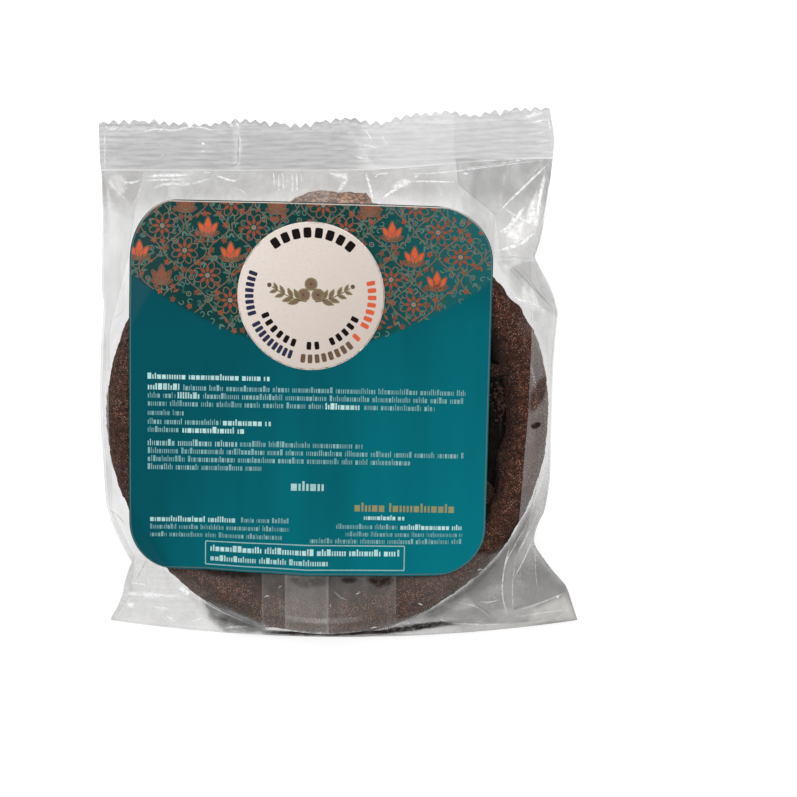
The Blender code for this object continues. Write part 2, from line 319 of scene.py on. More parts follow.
def facets(x, y, size, seed):
    # facets of crumpled film: distance from the facet's middle, and a random tone for each facet, used as
    # its painted reflection
    dice = np.random.default_rng(seed)
    stray = 0.48
    columns, rows = np.meshgrid(np.arange(-66.0, 67.0, size), np.arange(-72.0, 73.0, size))
    middleX = (columns + dice.uniform(-stray, stray, columns.shape) * size).ravel()
    middleY = (rows + dice.uniform(-stray, stray, rows.shape) * size).ravel()
    tones = dice.uniform(0.0, 1.0, middleX.size)
    tree = kdtree.KDTree(middleX.size)
    for index in range(middleX.size):
        tree.insert((middleX[index], middleY[index], 0.0), index)
    tree.balance()
    found = [tree.find((a, b, 0.0)) for a, b in zip(np.ravel(x), np.ravel(y))]
    inner = np.array([near[2] for near in found]).reshape(np.shape(x))
    tone = np.array([tones[near[1]] for near in found]).reshape(np.shape(x))
    return inner, tone


def reachAlong(line):
    # how far each point lies along its line
    return np.concatenate([[0.0], np.cumsum(np.hypot(*np.diff(line, axis=0).T))])


def pointsAt(places, reach, line):
    return np.stack([np.interp(places, reach, line[:, axis]) for axis in (0, 1)], axis=-1)


def sideways(line):
    # directions square to a line's course
    course = np.gradient(line, axis=0)
    course /= np.maximum(np.linalg.norm(course, axis=1)[:, None], 1e-9)
    return np.stack([-course[:, 1], course[:, 0]], axis=-1)


def curveThrough(points, step):
    # points at even steps along a smooth curve through these
    marks = np.array(points, float)
    reach = reachAlong(marks)
    places = np.linspace(0.0, reach[-1], max(int(reach[-1] / step), 4) + 1)
    if len(marks) < 3:
        return pointsAt(places, reach, marks)
    slopes = np.gradient(marks, reach, axis=0)
    index = np.clip(np.searchsorted(reach, places, side="right") - 1, 0, len(marks) - 2)
    span = (reach[index + 1] - reach[index])[:, None]
    t = (places - reach[index])[:, None] / span
    near, far = marks[index], marks[index + 1]
    leaving, arriving = slopes[index] * span, slopes[index + 1] * span
    return ((2 * t ** 3 - 3 * t ** 2 + 1) * near + (t ** 3 - 2 * t ** 2 + t) * leaving
            + (3 * t ** 2 - 2 * t ** 3) * far + (t ** 3 - t ** 2) * arriving)


def insidePolygon(x, y, outline):
    # distance from the outline, positive inside it
    outline = np.array(outline, float)
    nearest = np.full(np.shape(x), 1e9)
    inside = np.zeros(np.shape(x), bool)
    for (startX, startY), (endX, endY) in zip(outline, np.roll(outline, -1, axis=0)):
        runX, runY = endX - startX, endY - startY
        share = np.clip(((x - startX) * runX + (y - startY) * runY) / (runX ** 2 + runY ** 2), 0.0, 1.0)
        nearest = np.minimum(nearest, np.hypot(x - startX - share * runX, y - startY - share * runY))
        crossing = (startY > y) != (endY > y)
        inside ^= crossing & (x < startX + (y - startY) * runX / (runY or 1e-9))
    return np.where(inside, nearest, -nearest)


# Shader nodes, written as plain sums
class Wire:
    def __init__(self, bench, socket):
        self.bench = bench
        self.socket = socket

    def math(self, operation, *values):
        return self.bench.add("ShaderNodeMath", {"operation": operation}, dict(enumerate(values)))

    def __add__(self, other):
        return self.math("ADD", self, other)

    def __mul__(self, other):
        return self.math("MULTIPLY", self, other)

    def __sub__(self, other):
        return self.math("SUBTRACT", self, other)

    def __rsub__(self, other):
        return self.math("SUBTRACT", other, self)

    __radd__ = __add__
    __rmul__ = __mul__

    def band(self, low, high, toLow=0.0, toHigh=1.0):
        settings = {"interpolation_type": "SMOOTHSTEP"}
        values = {"Value": self, "From Min": low, "From Max": high, "To Min": toLow, "To Max": toHigh}
        return self.bench.add("ShaderNodeMapRange", settings, values)


class Bench:
    names = {
        "colour": "Base Color",
        "roughness": "Roughness",
        "alpha": "Alpha",
        "normal": "Normal",
        "ior": "IOR",
        "specular": "Specular IOR Level",
        "glow": "Emission Color",
        "glowStrength": "Emission Strength",
    }

    def __init__(self, name):
        self.material = bpy.data.materials.new(name)
        self.material.use_nodes = True
        self.tree = self.material.node_tree
        self.shader = self.tree.nodes["Principled BSDF"]

    def feed(self, socket, value):
        if isinstance(value, Wire):
            self.tree.links.new(value.socket, socket)
        else:
            socket.default_value = value

    def add(self, kind, settings=None, values=None, out=0):
        node = self.tree.nodes.new(kind)
        for name, value in (settings or {}).items():
            setattr(node, name, value)
        for name, value in (values or {}).items():
            self.feed(node.inputs[name], value)
        return Wire(self, node.outputs[out])

    def place(self):
        return self.add("ShaderNodeTexCoord", out="Object")

    def axis(self, vector, name):
        return self.add("ShaderNodeSeparateXYZ", None, {"Vector": vector}, name)

    def stretch(self, vector, scale):
        return self.add("ShaderNodeVectorMath", {"operation": "MULTIPLY"}, {0: vector, 1: scale})

    def grain(self, vector, size, detail=3.0, rough=0.55, warp=0.0):
        values = {"Vector": vector, "Scale": 1.0 / (size * mm), "Detail": detail, "Roughness": rough}
        values["Distortion"] = warp
        return self.add("ShaderNodeTexNoise", {"noise_dimensions": "3D"}, values)

    def cells(self, vector, size):
        values = {"Vector": vector, "Scale": 1.0 / (size * mm)}
        return self.add("ShaderNodeTexVoronoi", {"feature": "F1"}, values)

    def attribute(self, name):
        return self.add("ShaderNodeAttribute", {"attribute_name": name}, out="Fac")

    def mix(self, first, second, share):
        # in a colour mix, socket 0 is the share, 6 and 7 are the colours and 2 is the result
        return self.add("ShaderNodeMix", {"data_type": "RGBA"}, {0: share, 6: first, 7: second}, 2)

    def bump(self, height, strength, depth):
        values = {"Height": height, "Strength": strength, "Distance": depth * mm}
        return self.add("ShaderNodeBump", None, values)

    def finish(self, **sockets):
        for key, value in sockets.items():
            self.feed(self.shader.inputs[self.names[key]], value)
        return self.material


def colour(red, green, blue):
    # screen values of 0 to 255 as a shader colour
    shares = [value / 255.0 for value in (red, green, blue)]
    linear = [((share + 0.055) / 1.055) ** 2.4 if share > 0.04 else share / 12.92 for share in shares]
    return (*linear, 1.0)


# Meshes from arrays of points
def gridFaces(rows, columns, wrap=False, start=0):
    index = np.arange(rows * columns).reshape(rows, columns) + start
    if wrap:
        index = np.concatenate([index, index[:, :1]], axis=1)
    quads = np.stack([index[:-1, :-1], index[:-1, 1:], index[1:, 1:], index[1:, :-1]], axis=-1)
    return quads.reshape(-1, 4).tolist()


def makePiece(name, points, faces, material, replaced=(), values=None):
    # values holds, by name, a number for each point, which the material reads
    points = np.array(points, float).reshape(-1, 3) * mm
    points[:, 1] += shiftY * mm
    mesh = bpy.data.meshes.new(name)
    mesh.from_pydata(points.tolist(), [], faces)
    for key, numbers in (values or {}).items():
        attribute = mesh.attributes.new(key, "FLOAT", "POINT")
        attribute.data.foreach_set("value", np.asarray(numbers, np.float32).ravel())
    mesh.polygons.foreach_set("use_smooth", [True] * len(mesh.polygons))
    mesh.materials.append(material)
    mesh.update()
    obj = bpy.data.objects.new(name, mesh)
    bpy.context.scene.collection.objects.link(obj)
    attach(obj, "root")
    if replaced:
        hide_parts(*replaced)
    print("made", name, "with", sum(len(face) - 2 for face in faces), "triangles")


def makeThin(name, x, y, low, high, material, slotName, replaced=(), **values):
    # a closed sheet: the top, then the underside backwards, and a strip of faces at either end
    top = np.stack([x, y, high], axis=-1)
    under = np.stack([x, y, low], axis=-1)[:, ::-1]
    ring = np.concatenate([top, under], axis=1)
    rows, columns = ring.shape[:2]
    faces = gridFaces(rows, columns, wrap=True)
    last = (rows - 1) * columns
    for index in range(columns // 2 - 1):
        near = [index + 1, index, columns - 1 - index, columns - 2 - index]
        faces.append(near)
        faces.append([last + corner for corner in reversed(near)])
    twice = {key: np.concatenate([value, value[:, ::-1]], axis=1) for key, value in values.items()}
    makePiece(name, ring, faces, material, replaced, twice)


class Sheets:
    # gathers grids of points, with values at each point, into one piece
    def __init__(self):
        self.points = []
        self.faces = []
        self.values = {}
        self.count = 0

    def add(self, grid, wrap=False, **values):
        rows, columns, axes = grid.shape
        self.faces += gridFaces(rows, columns, wrap, self.count)
        self.points.append(grid.reshape(-1, axes))
        for key, value in values.items():
            self.values.setdefault(key, []).append(np.broadcast_to(value, (rows, columns)).ravel())
        self.count += rows * columns

    def make(self, name, material, slotName, replaced=()):
        values = {key: np.concatenate(parts) for key, parts in self.values.items()}
        makePiece(name, np.concatenate(self.points), self.faces, material, replaced, values)


# The film. Its zones are soft masks that say how milky each sheet is and how light; some zones are painted
# shade and painted reflection
film = {
    "columns": 300,
    "backColumns": 150,
    "wallShare": 0.075,  # the columns stand closer together in this share at either side
    "endRows": 30,
    "endLength": 7.5,
    "rows": 190,
    "gussetColumns": 12,
    "frontVeil": 0.03,
    "facetVeil": 0.16,
    "backVeil": 0.18,
    "gussetVeil": 0.09,
    "wideFacets": 10.0,
    "wideRelief": 0.10,
    "wideSeed": 5,
    "fineFacets": 5.2,
    "fineRelief": 0.07,
    "fineSeed": 8,
    "waves": 0.35,
    "leastCrumpled": 0.1,
    "overRim": 0.25,  # this share of the relief is left over the tart's rim
    "gussetGap": 0.08,  # below the front film
}
# the corner and backCorner zones are painted shade, and foot is the tart's painted shadow
hazeAndShade = {  # how much milkier or darker each zone makes the film
    "folded": 0.045,
    "foldedBeside": 0.06,
    "foldedRight": 0.02,
    "seal": 0.05,
    "sealBeside": 0.21,
    "left": 0.01,
    "leftSide": 0.06,
    "rightSide": 0.17,
    "rim": 0.14,
    "corner": 0.36,
    "foot": 0.4,
    "backSeam": 0.2,
    "backCorner": 0.38,
    "backRight": 0.05,
    "overTart": 0.035,
    "gussetTop": 0.018,
    "gussetOuter": 0.05,
    "clearSpot": 0.015,
}
crumpledZones = (  # side, inner edge and its softness across the pack, the same along it, and strength
    (1, 37.0, 4.0, 1, 26.0, 4.0, 1.0),
    (1, -99.0, 4.0, 1, 42.0, 5.0, 0.45),  # over the whole width
    (-1, 44.0, 4.0, 1, 32.0, 10.0, 0.5),
    (1, 27.0, 8.0, -1, 42.0, 6.0, 0.9),
    (-1, 24.0, 8.0, -1, 44.0, 6.0, 0.8),
    (1, 42.0, 4.0, 1, 8.0, 6.0, 0.6),
)


def crumpleZone(x, y):
    # how crumpled the film is: most beside the end seal and at the corners
    zones = [past(x * sideX, edgeX, softX) * past(y * sideY, edgeY, softY) * strength
             for sideX, edgeX, softX, sideY, edgeY, softY, strength in crumpledZones]
    return np.maximum.reduce([*zones, np.full(np.shape(x), film["leastCrumpled"])])


def crumple(x, y):
    # height of the film's facets, and their tone, a painted reflection
    zone = crumpleZone(x, y)
    wide, wideTone = facets(x, y * 0.8, film["wideFacets"], film["wideSeed"])
    fine, fineTone = facets(x * 0.9, y, film["fineFacets"], film["fineSeed"])
    height = wide * film["wideRelief"] + fine * film["fineRelief"]
    height = height + film["waves"] * noiseAt(x, y * 0.6, 7.0, 3.1)
    return height * zone, (wideTone * 0.6 + fineTone * 0.4) * zone


def frontHeight(x, y, relief=None):
    if relief is None:
        relief = crumple(x, y)[0]
    free = smooth((outsideLabel(x, y) + 0.3) / 2.0)
    inner = smooth(nearestEdge(edgeDistances(x, y)) / 1.5)
    offRim = smooth((fromTart(x, y) - tart["crest"] + 4.0) / 6.0)
    return upperFilm(x, y) + relief * free * inner * blend(film["overRim"], 1.0, offRim)


def crowdedShares(columns):
    # shares of the width, closer together along both sides
    walls = columns // 8
    wall = np.linspace(0.0, film["wallShare"], walls, endpoint=False)
    inner = np.linspace(film["wallShare"], 1.0 - film["wallShare"], columns - 2 * walls + 1)
    return np.concatenate([wall, inner, 1.0 - wall[::-1]])


def rowWays():
    # shares of the length, closer together at the folded end
    length = pack["sealLine"] - pack["foldedEnd"]
    start = film["endLength"] * np.linspace(0.0, 1.0, film["endRows"], endpoint=False) ** 1.5
    return np.concatenate([start, np.linspace(film["endLength"], length, film["rows"])]) / length


def filmGrid(columns):
    share, way = np.meshgrid(crowdedShares(columns), rowWays())
    y = blend(foldedEnd(share), sealLine(share), way)
    return blend(along(leftSide, y), along(rightSide, y), share), y


def gusset(edge, fold, share, upper):
    # one sheet of a side gusset, from the pack's edge in to its fold
    y = blend(foldedEnd(share), sealLine(share), rowWays())[:, None]
    inward = np.linspace(0.0, 1.0, film["gussetColumns"] + 1)[None, :] ** 1.3
    x = blend(along(edge, y), along(fold, y), inward)
    y = np.repeat(y, inward.size, axis=1)
    rim = rimHeight(fromTart(x, y)) + 0.04
    top = np.maximum(frontHeight(x, y) - film["gussetGap"], rim)
    bottom = lowerFilm(x, y) + 0.05
    middle = np.maximum((top[:, -1:] + bottom[:, -1:]) / 2.0, rim[:, -1:])
    crease = upperCrease if upper else lowerCrease
    height = blend(along(crease, y), middle, inward) + (0.02 if upper else -0.02)
    height = np.clip(height, rim if upper else np.maximum(rim - 0.05, bottom), top)
    return x, y, height


# Painted patches on the film: painted highlights where the tone is light, painted shadow and reflection
# where it is dark; strength, tone, softness of the edge, outline
paintedFacets = (
    (0.22, 0.25, 0.5, ((37.8, 26.3), (47.5, 26.3), (53.0, 12.8), (43.8, 17.2), (40.5, 20.3))),
    (1.0, 0.0, 0.25, ((-18.6, -62.3), (-9.4, -62.5), (0.1, -62.9), (13.6, -62.0), (19.7, -61.1),
        (24.5, -60.1), (28.2, -61.0), (19.7, -62.6), (12.4, -63.6), (0.1, -64.6), (-9.4, -64.6),
        (-18.6, -63.6))),
    (0.45, 0.95, 0.5, ((12.4, -63.3), (27.7, -61.0), (41.8, -60.8), (50.0, -60.0), (46.0, -61.6),
        (30.8, -62.9), (19.7, -63.7))),
    (0.3, 0.5, 1.2, ((-36.6, -53.2), (-18.7, -61.5), (-24.0, -62.7), (-28.4, -62.9), (-32.1, -59.3))),
    (1.0, 0.0, 1.6, ((-32.6, -54.8), (-26.0, -57.2), (-17.4, -61.2), (-18.2, -63.2), (-27.6, -62.8),
        (-31.0, -59.6))),
    (0.07, 0.25, 0.6, ((27.4, 45.9), (39.1, 46.6), (48.7, 49.7), (40.2, 40.3), (37.6, 37.3),
        (32.2, 38.8), (28.9, 42.2))),
    (0.7, 1.0, 1.8, ((47.0, -57.6), (54.4, -54.0), (57.3, -59.9), (46.0, -60.2))),
    (0.7, 1.0, 0.7, ((44.9, 38.4), (47.5, 43.6), (47.9, 34.6), (45.8, 36.1))),
    (0.3, 1.0, 0.8, ((39.4, 32.4), (44.6, 36.6), (43.0, 31.2))),
    (0.16, 0.25, 0.6, ((-56.0, 47.4), (-47.5, 46.7), (-49.7, 39.6))),
    (0.3, 0.1, 0.8, ((37.7, -46.3), (40.4, -42.7), (39.5, -50.8), (33.5, -52.2), (31.0, -52.6))),
    (0.2, 0.1, 0.6, ((46.9, -41.7), (55.3, -52.2), (53.9, -53.3), (41.9, -49.8), (45.5, -42.9))),
    (0.25, 0.2, 1.2, ((22.0, -58.5), (34.0, -57.0), (43.0, -59.5), (33.8, -60.4), (24.6, -59.5))),
    (0.28, 0.3, 0.5, ((28.6, 44.6), (33.0, 41.3), (37.4, 37.6), (37.0, 27.0), (34.0, 32.0), (29.5, 38.6))),
    (0.35, 0.1, 0.6, ((22.0, -60.0), (32.0, -59.6), (33.0, -61.0), (24.0, -61.8))),
    (0.28, 0.9, 1.2, ((36.0, -57.6), (47.0, -56.4), (49.0, -59.4), (38.0, -60.4))),
    (0.18, 1.0, 0.8, ((24.0, -55.6), (30.5, -54.0), (33.8, -56.2), (28.0, -57.4))),
    (0.16, 1.0, 0.8, ((-53.6, -55.6), (-47.8, -55.8), (-48.2, -57.4), (-53.0, -57.0))),
    (0.2, 1.0, 0.9, ((-1.2, 47.2), (3.6, 47.4), (1.4, 45.2), (0.6, 43.6))),
    (0.16, 1.0, 0.7, ((14.6, 47.0), (19.2, 46.8), (16.8, 44.4))),
)


def addPaintedFacets(x, y, veil, light):
    for strength, tone, soft, outline in paintedFacets:
        extra = strength * smooth(insidePolygon(x, y, outline) / soft + 0.5)
        light = (veil * light + extra * tone) / (veil + extra)
        veil = veil + extra * (1.0 - veil)
    return veil, light


def frontZones(x, y, tone):
    # milky at the folded end and under the end seal; the lower right corner a darker grey of painted shade,
    # darkest at the tart's foot as its painted shadow
    distance = fromTart(x, y)
    beside = past(distance, tart["radius"] + 0.6, 1.2)
    foldedLine = np.where(x > 25.0, -43.4 + np.maximum(x - 38.4, 0.0) * 1.3, -44.0)
    folded = hazeAndShade["folded"] + hazeAndShade["foldedBeside"] * beside + hazeAndShade["foldedRight"] * past(x, 20.0, 8.0)
    folded = past(-y, -foldedLine, 0.6) * folded
    underSeal = past(y, 39.5, 4.0) * past(24.0, x, 18.0) * (hazeAndShade["seal"] + hazeAndShade["sealBeside"] * beside)
    # painted shade in the lower right corner, and the tart's painted shadow at its foot
    bottomRight = past(x, 12.0, 8.0) * past(distance, 53.15, 0.5)
    corner = bottomRight * (0.45 * past(-y, 24.0, 14.0) + 0.55 * past(-y, 46.0, 12.0))
    foot = bottomRight * past(-y, 34.0, 16.0) * (1.0 - smooth((distance - 53.6) / 5.0))
    left = past(-x, 50.0, 4.0) * past(y, -48.0, 6.0) * hazeAndShade["left"]
    sides = beside * (past(-x, 50.5, 4.0) * hazeAndShade["leftSide"] + past(x, 39.0, 6.0) * hazeAndShade["rightSide"])
    rim = past(0.55, nearestEdge(edgeDistances(x, y)[:2]), 0.5) * hazeAndShade["rim"]
    milky = folded + underSeal + left
    # each facet's tone makes a painted reflection, a lighter or darker grey
    crumpled = tone * film["facetVeil"]
    veil = film["frontVeil"] + milky + crumpled + corner * hazeAndShade["corner"] + foot * hazeAndShade["foot"] + sides + rim
    light = milky * blend(0.85, 0.5, beside) + crumpled * blend(0.15, 0.85, tone)
    light += corner * 0.07 + sides * 0.3 + rim * 0.25
    return addPaintedFacets(x, y, veil, np.clip(light / veil + 0.06, 0.0, 1.0))


def backZones(x, y):
    free = past(fromTart(x, y), 51.0, 3.0)
    seam = past(y, 42.0, 6.0) * hazeAndShade["backSeam"]
    # painted shade: the back film is a darker grey in the lower right corner
    corner = past(x, 26.0, 10.0) * past(-y, 44.0, 8.0) * hazeAndShade["backCorner"]
    right = past(x, 42.0, 5.0) * hazeAndShade["backRight"]
    veil = film["backVeil"] + (seam + corner + right) * free
    return veil, np.clip(0.3 - (corner * 0.6 + seam * 0.8) * free, 0.02, 1.0)


def gussetZones(x, y):
    # both sheets of the gusset make the tart milky, but for one clear spot; over the tart this milkiness is
    # also a painted reflection of the bright room
    overTart = past(y, -46.0, 4.0) * past(9.5, y, 1.2) * past(x, 0.0, 1.0)
    spotX, spotY = x - 47.5, y + 5.4
    spot = np.hypot((spotX * 0.39 + spotY * 0.92) / 4.4, (spotX * 0.92 - spotY * 0.39) / 1.6)
    clear = past(1.0, spot, 0.4)
    top = past(y, 35.0, 6.0)
    outer = past(fromTart(x, y), tart["radius"], 1.0) * past(x, 0.0, 1.0) * past(-36.0, -y, 6.0)
    veil = film["gussetVeil"] + overTart * hazeAndShade["overTart"] + top * hazeAndShade["gussetTop"]
    veil = blend(veil + outer * hazeAndShade["gussetOuter"], hazeAndShade["clearSpot"], clear * overTart)
    light = blend(0.3, 0.8, overTart) * (1.0 - top * 0.5)
    return veil, light


def joinSheets(name, sheets, material, replaced=()):
    joined = Sheets()
    for x, y, z, (veil, light) in sheets:
        joined.add(np.stack([x, y, z], axis=-1), veil=veil, light=light)
    joined.make(name, material, "clear_film", replaced)


def gussetSheets(upper):
    sheets = []
    for edge, fold, share in ((leftSide, leftFold, 0.0), (rightSide, rightFold, 1.0)):
        x, y, height = gusset(edge, fold, share, upper)
        sheets.append((x, y, height, gussetZones(x, y)))
    return sheets


def buildFilm(material):
    x, y = filmGrid(film["columns"])
    relief, tone = crumple(x, y)
    tone = tone * smooth(outsideLabel(x, y) / 2.0) * past(fromTart(x, y), 52.0, 2.0)
    height = frontHeight(x, y, relief)
    veil, light = frontZones(x, y, tone)
    low = lowerFilm(x[:1], y[:1])
    front = [np.concatenate([first, rest]) for first, rest in ((x[:1], x), (y[:1], y), (low, height))]
    front.append([np.concatenate([values[:1], values]) for values in (veil, light)])
    joinSheets("film_front", [front, *gussetSheets(True)], material, ("film_bag",))
    x, y = filmGrid(film["backColumns"])
    back = (x, y, lowerFilm(x, y), backZones(x, y))
    joinSheets("film_back", [back, *gussetSheets(False)], material)


def filmMaterial():
    bench = Bench("clear film")
    place = bench.place()
    streaks = bench.grain(bench.stretch(place, (1.0, 0.35, 1.0)), 3.5, 4.0, 0.6, 0.6)
    patches = bench.grain(place, 9.0, 3.0)
    veil = bench.attribute("veil") * patches.band(0.3, 0.7, 0.85, 1.15) * streaks.band(0.3, 0.7, 0.85, 1.15)
    alpha = veil + streaks.band(0.62, 0.78) * 0.05
    tint = bench.mix(colour(38, 38, 38), colour(236, 233, 229), bench.attribute("light"))
    rough = streaks.band(0.3, 0.75, 0.12, 0.3)
    normal = bench.bump(streaks, 0.35, 0.12)
    return bench.finish(colour=tint, alpha=alpha, roughness=rough, normal=normal, ior=1.65, specular=0.45)


def ribBow(x, y):
    # the crimped ribs bow up where the pack's back seam runs into the seal
    rise = 1.5 * np.exp(-((x + 7.0) / 13.0) ** 2) * past(x, -24.5, 1.5)
    return rise + 0.35 * noiseAt(x, y * 0.2, 14.0, 1.7)


def sealFolds(x, y):
    first = np.exp(-((x + 24.6 + 0.25 * np.sin(y * 0.9)) / 0.7) ** 2)
    second = np.exp(-((x - 5.0 + (y - 53.8) * 0.62) / 0.6) ** 2)
    return 0.45 * first + 0.4 * second


def sealRelief(x, y):
    # height of the seal's middle and the wave of its ribs
    share = across(x, y)
    way = np.clip((y - sealLine(share)) / (cutEnd(share) - sealLine(share)), 0.0, 1.0)
    strength = 0.55 + 0.7 * noiseAt(x, y, 6.0, 9.1)
    rib = strength * np.sin(tau * (y - sealLine(share) - ribBow(x, y)) / seal["ribPitch"])
    wrinkle = 0.22 * noiseAt(x, y * 0.3, 5.0, 2.2)
    return sealMiddle(x, y) + (seal["ribDepth"] * rib + wrinkle + sealFolds(x, y)) * smooth(way / 0.15), rib


# Where the tips of the teeth stand along the ragged cut end
cutLine = (
    (-57.3, 60.4), (-51.9, 60.8), (-44.6, 60.8), (-39.7, 60.2), (-35.4, 60.0), (-30.8, 60.0),
    (-28.1, 60.7), (-22.4, 61.2), (-17.8, 60.6), (-10.5, 59.8), (-6.3, 60.4), (0.0, 61.5), (2.7, 61.4),
    (8.0, 60.4), (10.4, 60.4), (14.2, 61.7), (16.9, 62.4), (20.7, 62.5), (24.5, 63.0), (27.6, 62.9),
    (30.3, 62.3), (33.4, 62.3), (36.4, 63.0), (41.0, 63.6), (45.6, 63.9), (49.8, 64.0),
)


def toothOf(share):
    return 1.0 - 2.0 * np.abs((share * seal["teeth"]) % 1.0 - 0.5)


def buildSeal(material):
    columns = np.linspace(0.0, 1.0, seal["teeth"] * seal["toothColumns"] + 1)
    share, way = np.meshgrid(columns, np.linspace(seal["start"], 1.0, seal["rows"]))
    y = blend(sealLine(share), cutEnd(share), way)
    x = blend(along(leftSide, y), along(rightSide, y), share)
    flat = np.zeros(x.shape)
    ragged = 0.4 * noiseAt(x, flat, 2.0, 4.0)
    ragged -= seal["toothDepth"] * (1.0 - toothOf(share)) * (1.0 + 0.8 * noiseAt(x, flat, 3.1, 8.0))
    cutY = y + (along(cutLine, x) + ragged - cutEnd(share)) * smooth((way - 0.7) / 0.3)
    middle, rib = sealRelief(x, y)
    inner = past(27.6, x, 0.4)
    layers = 0.03 * inner * past(5.0, x, 4.0) - past(x, 5.0, 4.0) * (0.03 + 0.04 * inner)
    tips = smooth((way - 0.86) / 0.12)
    # the ribs' grooves are painted darker, painted shade, and the folds painted lighter, a painted highlight
    veil = seal["veil"] + layers - 0.02 * rib + 0.06 * tips
    light = 0.13 + 0.05 * rib + 0.5 * sealFolds(x, y) + 0.1 * tips * noiseAt(x, y, 1.5, 3.3)
    veil *= smooth((way + 0.02) / 0.06)
    low, high = middle - seal["halfThickness"], middle + seal["halfThickness"]
    makeThin("end_seal", x, cutY, low, high, material, "clear_film",
             veil=np.clip(veil, 0.01, 1.0), light=np.clip(light, 0.0, 1.0))


def sealMaterial():
    bench = Bench("crimped film")
    place = bench.place()
    threads = bench.grain(bench.stretch(place, (0.1, 1.0, 1.0)), 0.7, 3.0, 0.6)
    patches = bench.grain(place, 5.0, 3.0)
    alpha = bench.attribute("veil") * threads.band(0.3, 0.7, 0.84, 1.16) + patches.band(0.5, 0.8) * 0.04
    tint = bench.mix(colour(60, 60, 60), colour(232, 232, 232), bench.attribute("light"))
    rough = patches.band(0.3, 0.7, 0.25, 0.4)
    normal = bench.bump(threads, 0.2, 0.06)
    return bench.finish(colour=tint, alpha=alpha, roughness=rough, normal=normal, ior=1.6, specular=0.4)


flap = {
    "toothColumns": 5,
    "rows": 57,
    "endGap": 0.25,  # between the fold and the flap
    "sideGap": 0.4,
    "height": 0.2,
    "halfThickness": 0.05,
    "ribDepth": 0.05,
    "wave": 0.06,
    "veil": 0.03,
    "ribVeil": 0.012,
}


def buildFlap(material):
    # the other end seal, folded flat under the base
    columns = np.linspace(0.0, 1.0, seal["teeth"] * flap["toothColumns"] + 1)
    share, way = np.meshgrid(columns, np.linspace(0.0, 1.0, flap["rows"]))
    start = foldedEnd(share) + flap["endGap"]
    y = start + (pack["flapLength"] - 2.0 * flap["endGap"]) * way
    left = np.maximum(along(leftSide, start), along(leftSide, y)) + flap["sideGap"]
    right = np.minimum(along(rightSide, start), along(rightSide, y)) - flap["sideGap"]
    x = blend(np.maximum.accumulate(left), np.minimum.accumulate(right), share)
    cutY = y + seal["toothDepth"] * (toothOf(share) - 1.0) * smooth((way - 0.85) / 0.15)
    rib = np.sin(tau * y / seal["ribPitch"]) * past(way, 0.24, 0.05)
    middle = flap["height"] + flap["ribDepth"] * rib + flap["wave"] * noiseAt(x, y * 0.5, 6.0, 6.0)
    low, high = middle - flap["halfThickness"], middle + flap["halfThickness"]
    # the ribs are painted lighter and darker, painted shade in their grooves
    makeThin("folded_flap", x, cutY, low, high, material, "clear_film",
             veil=flap["veil"] + flap["ribVeil"] * rib, light=0.5 + 0.2 * rib)


print("film stage")
clearFilm = filmMaterial()
crimpedFilm = sealMaterial()
buildFilm(clearFilm)
buildSeal(crimpedFilm)
buildFlap(crimpedFilm)

lap = {
    "left": -18.4,
    "right": 13.6,
    "lift": 0.05,
    "veil": 0.042,
    "ribs": 0.0,
}
fin = {
    "left": -12.9,
    "right": -2.5,
    "lift": 0.11,
    "veil": 0.082,
    "ribs": 0.08,
}
strip = {
    "column": 0.4,
    "halfThickness": 0.015,
    "lip": 0.35,  # width of the paler stretch along each edge
    "ribStart": 38.0,  # it is gathered from here on, towards the end seal
    "ribLength": 4.0,
    "ribPitch": 1.1,
}


def buildStrip(name, material, left, right, lift, veil, ribs):
    # a doubled stretch of the front film, from the folded end to the seal
    columns = int((right - left) / strip["column"])
    share = across((left + right) / 2.0, 0.0)
    bottom = foldedEnd(share) + 0.35
    top = sealLine(share) + 0.3
    x, y = np.meshgrid(np.linspace(left, right, columns + 1), blend(bottom, top, rowWays()))
    z = frontHeight(x, y) + lift
    z += ribs * np.sin(tau * x / strip["ribPitch"]) * smooth((y - strip["ribStart"]) / strip["ribLength"])
    lip = past(strip["lip"], np.minimum(x - left, right - x), 0.3)
    makeThin(name, x, y, z - strip["halfThickness"], z + strip["halfThickness"], material, "clear_film",
             veil=veil * (1.0 + 0.5 * lip), light=blend(0.75, 0.95, lip))


buildStrip("film_lap", clearFilm, **lap)
buildStrip("fin_seal", clearFilm, **fin)
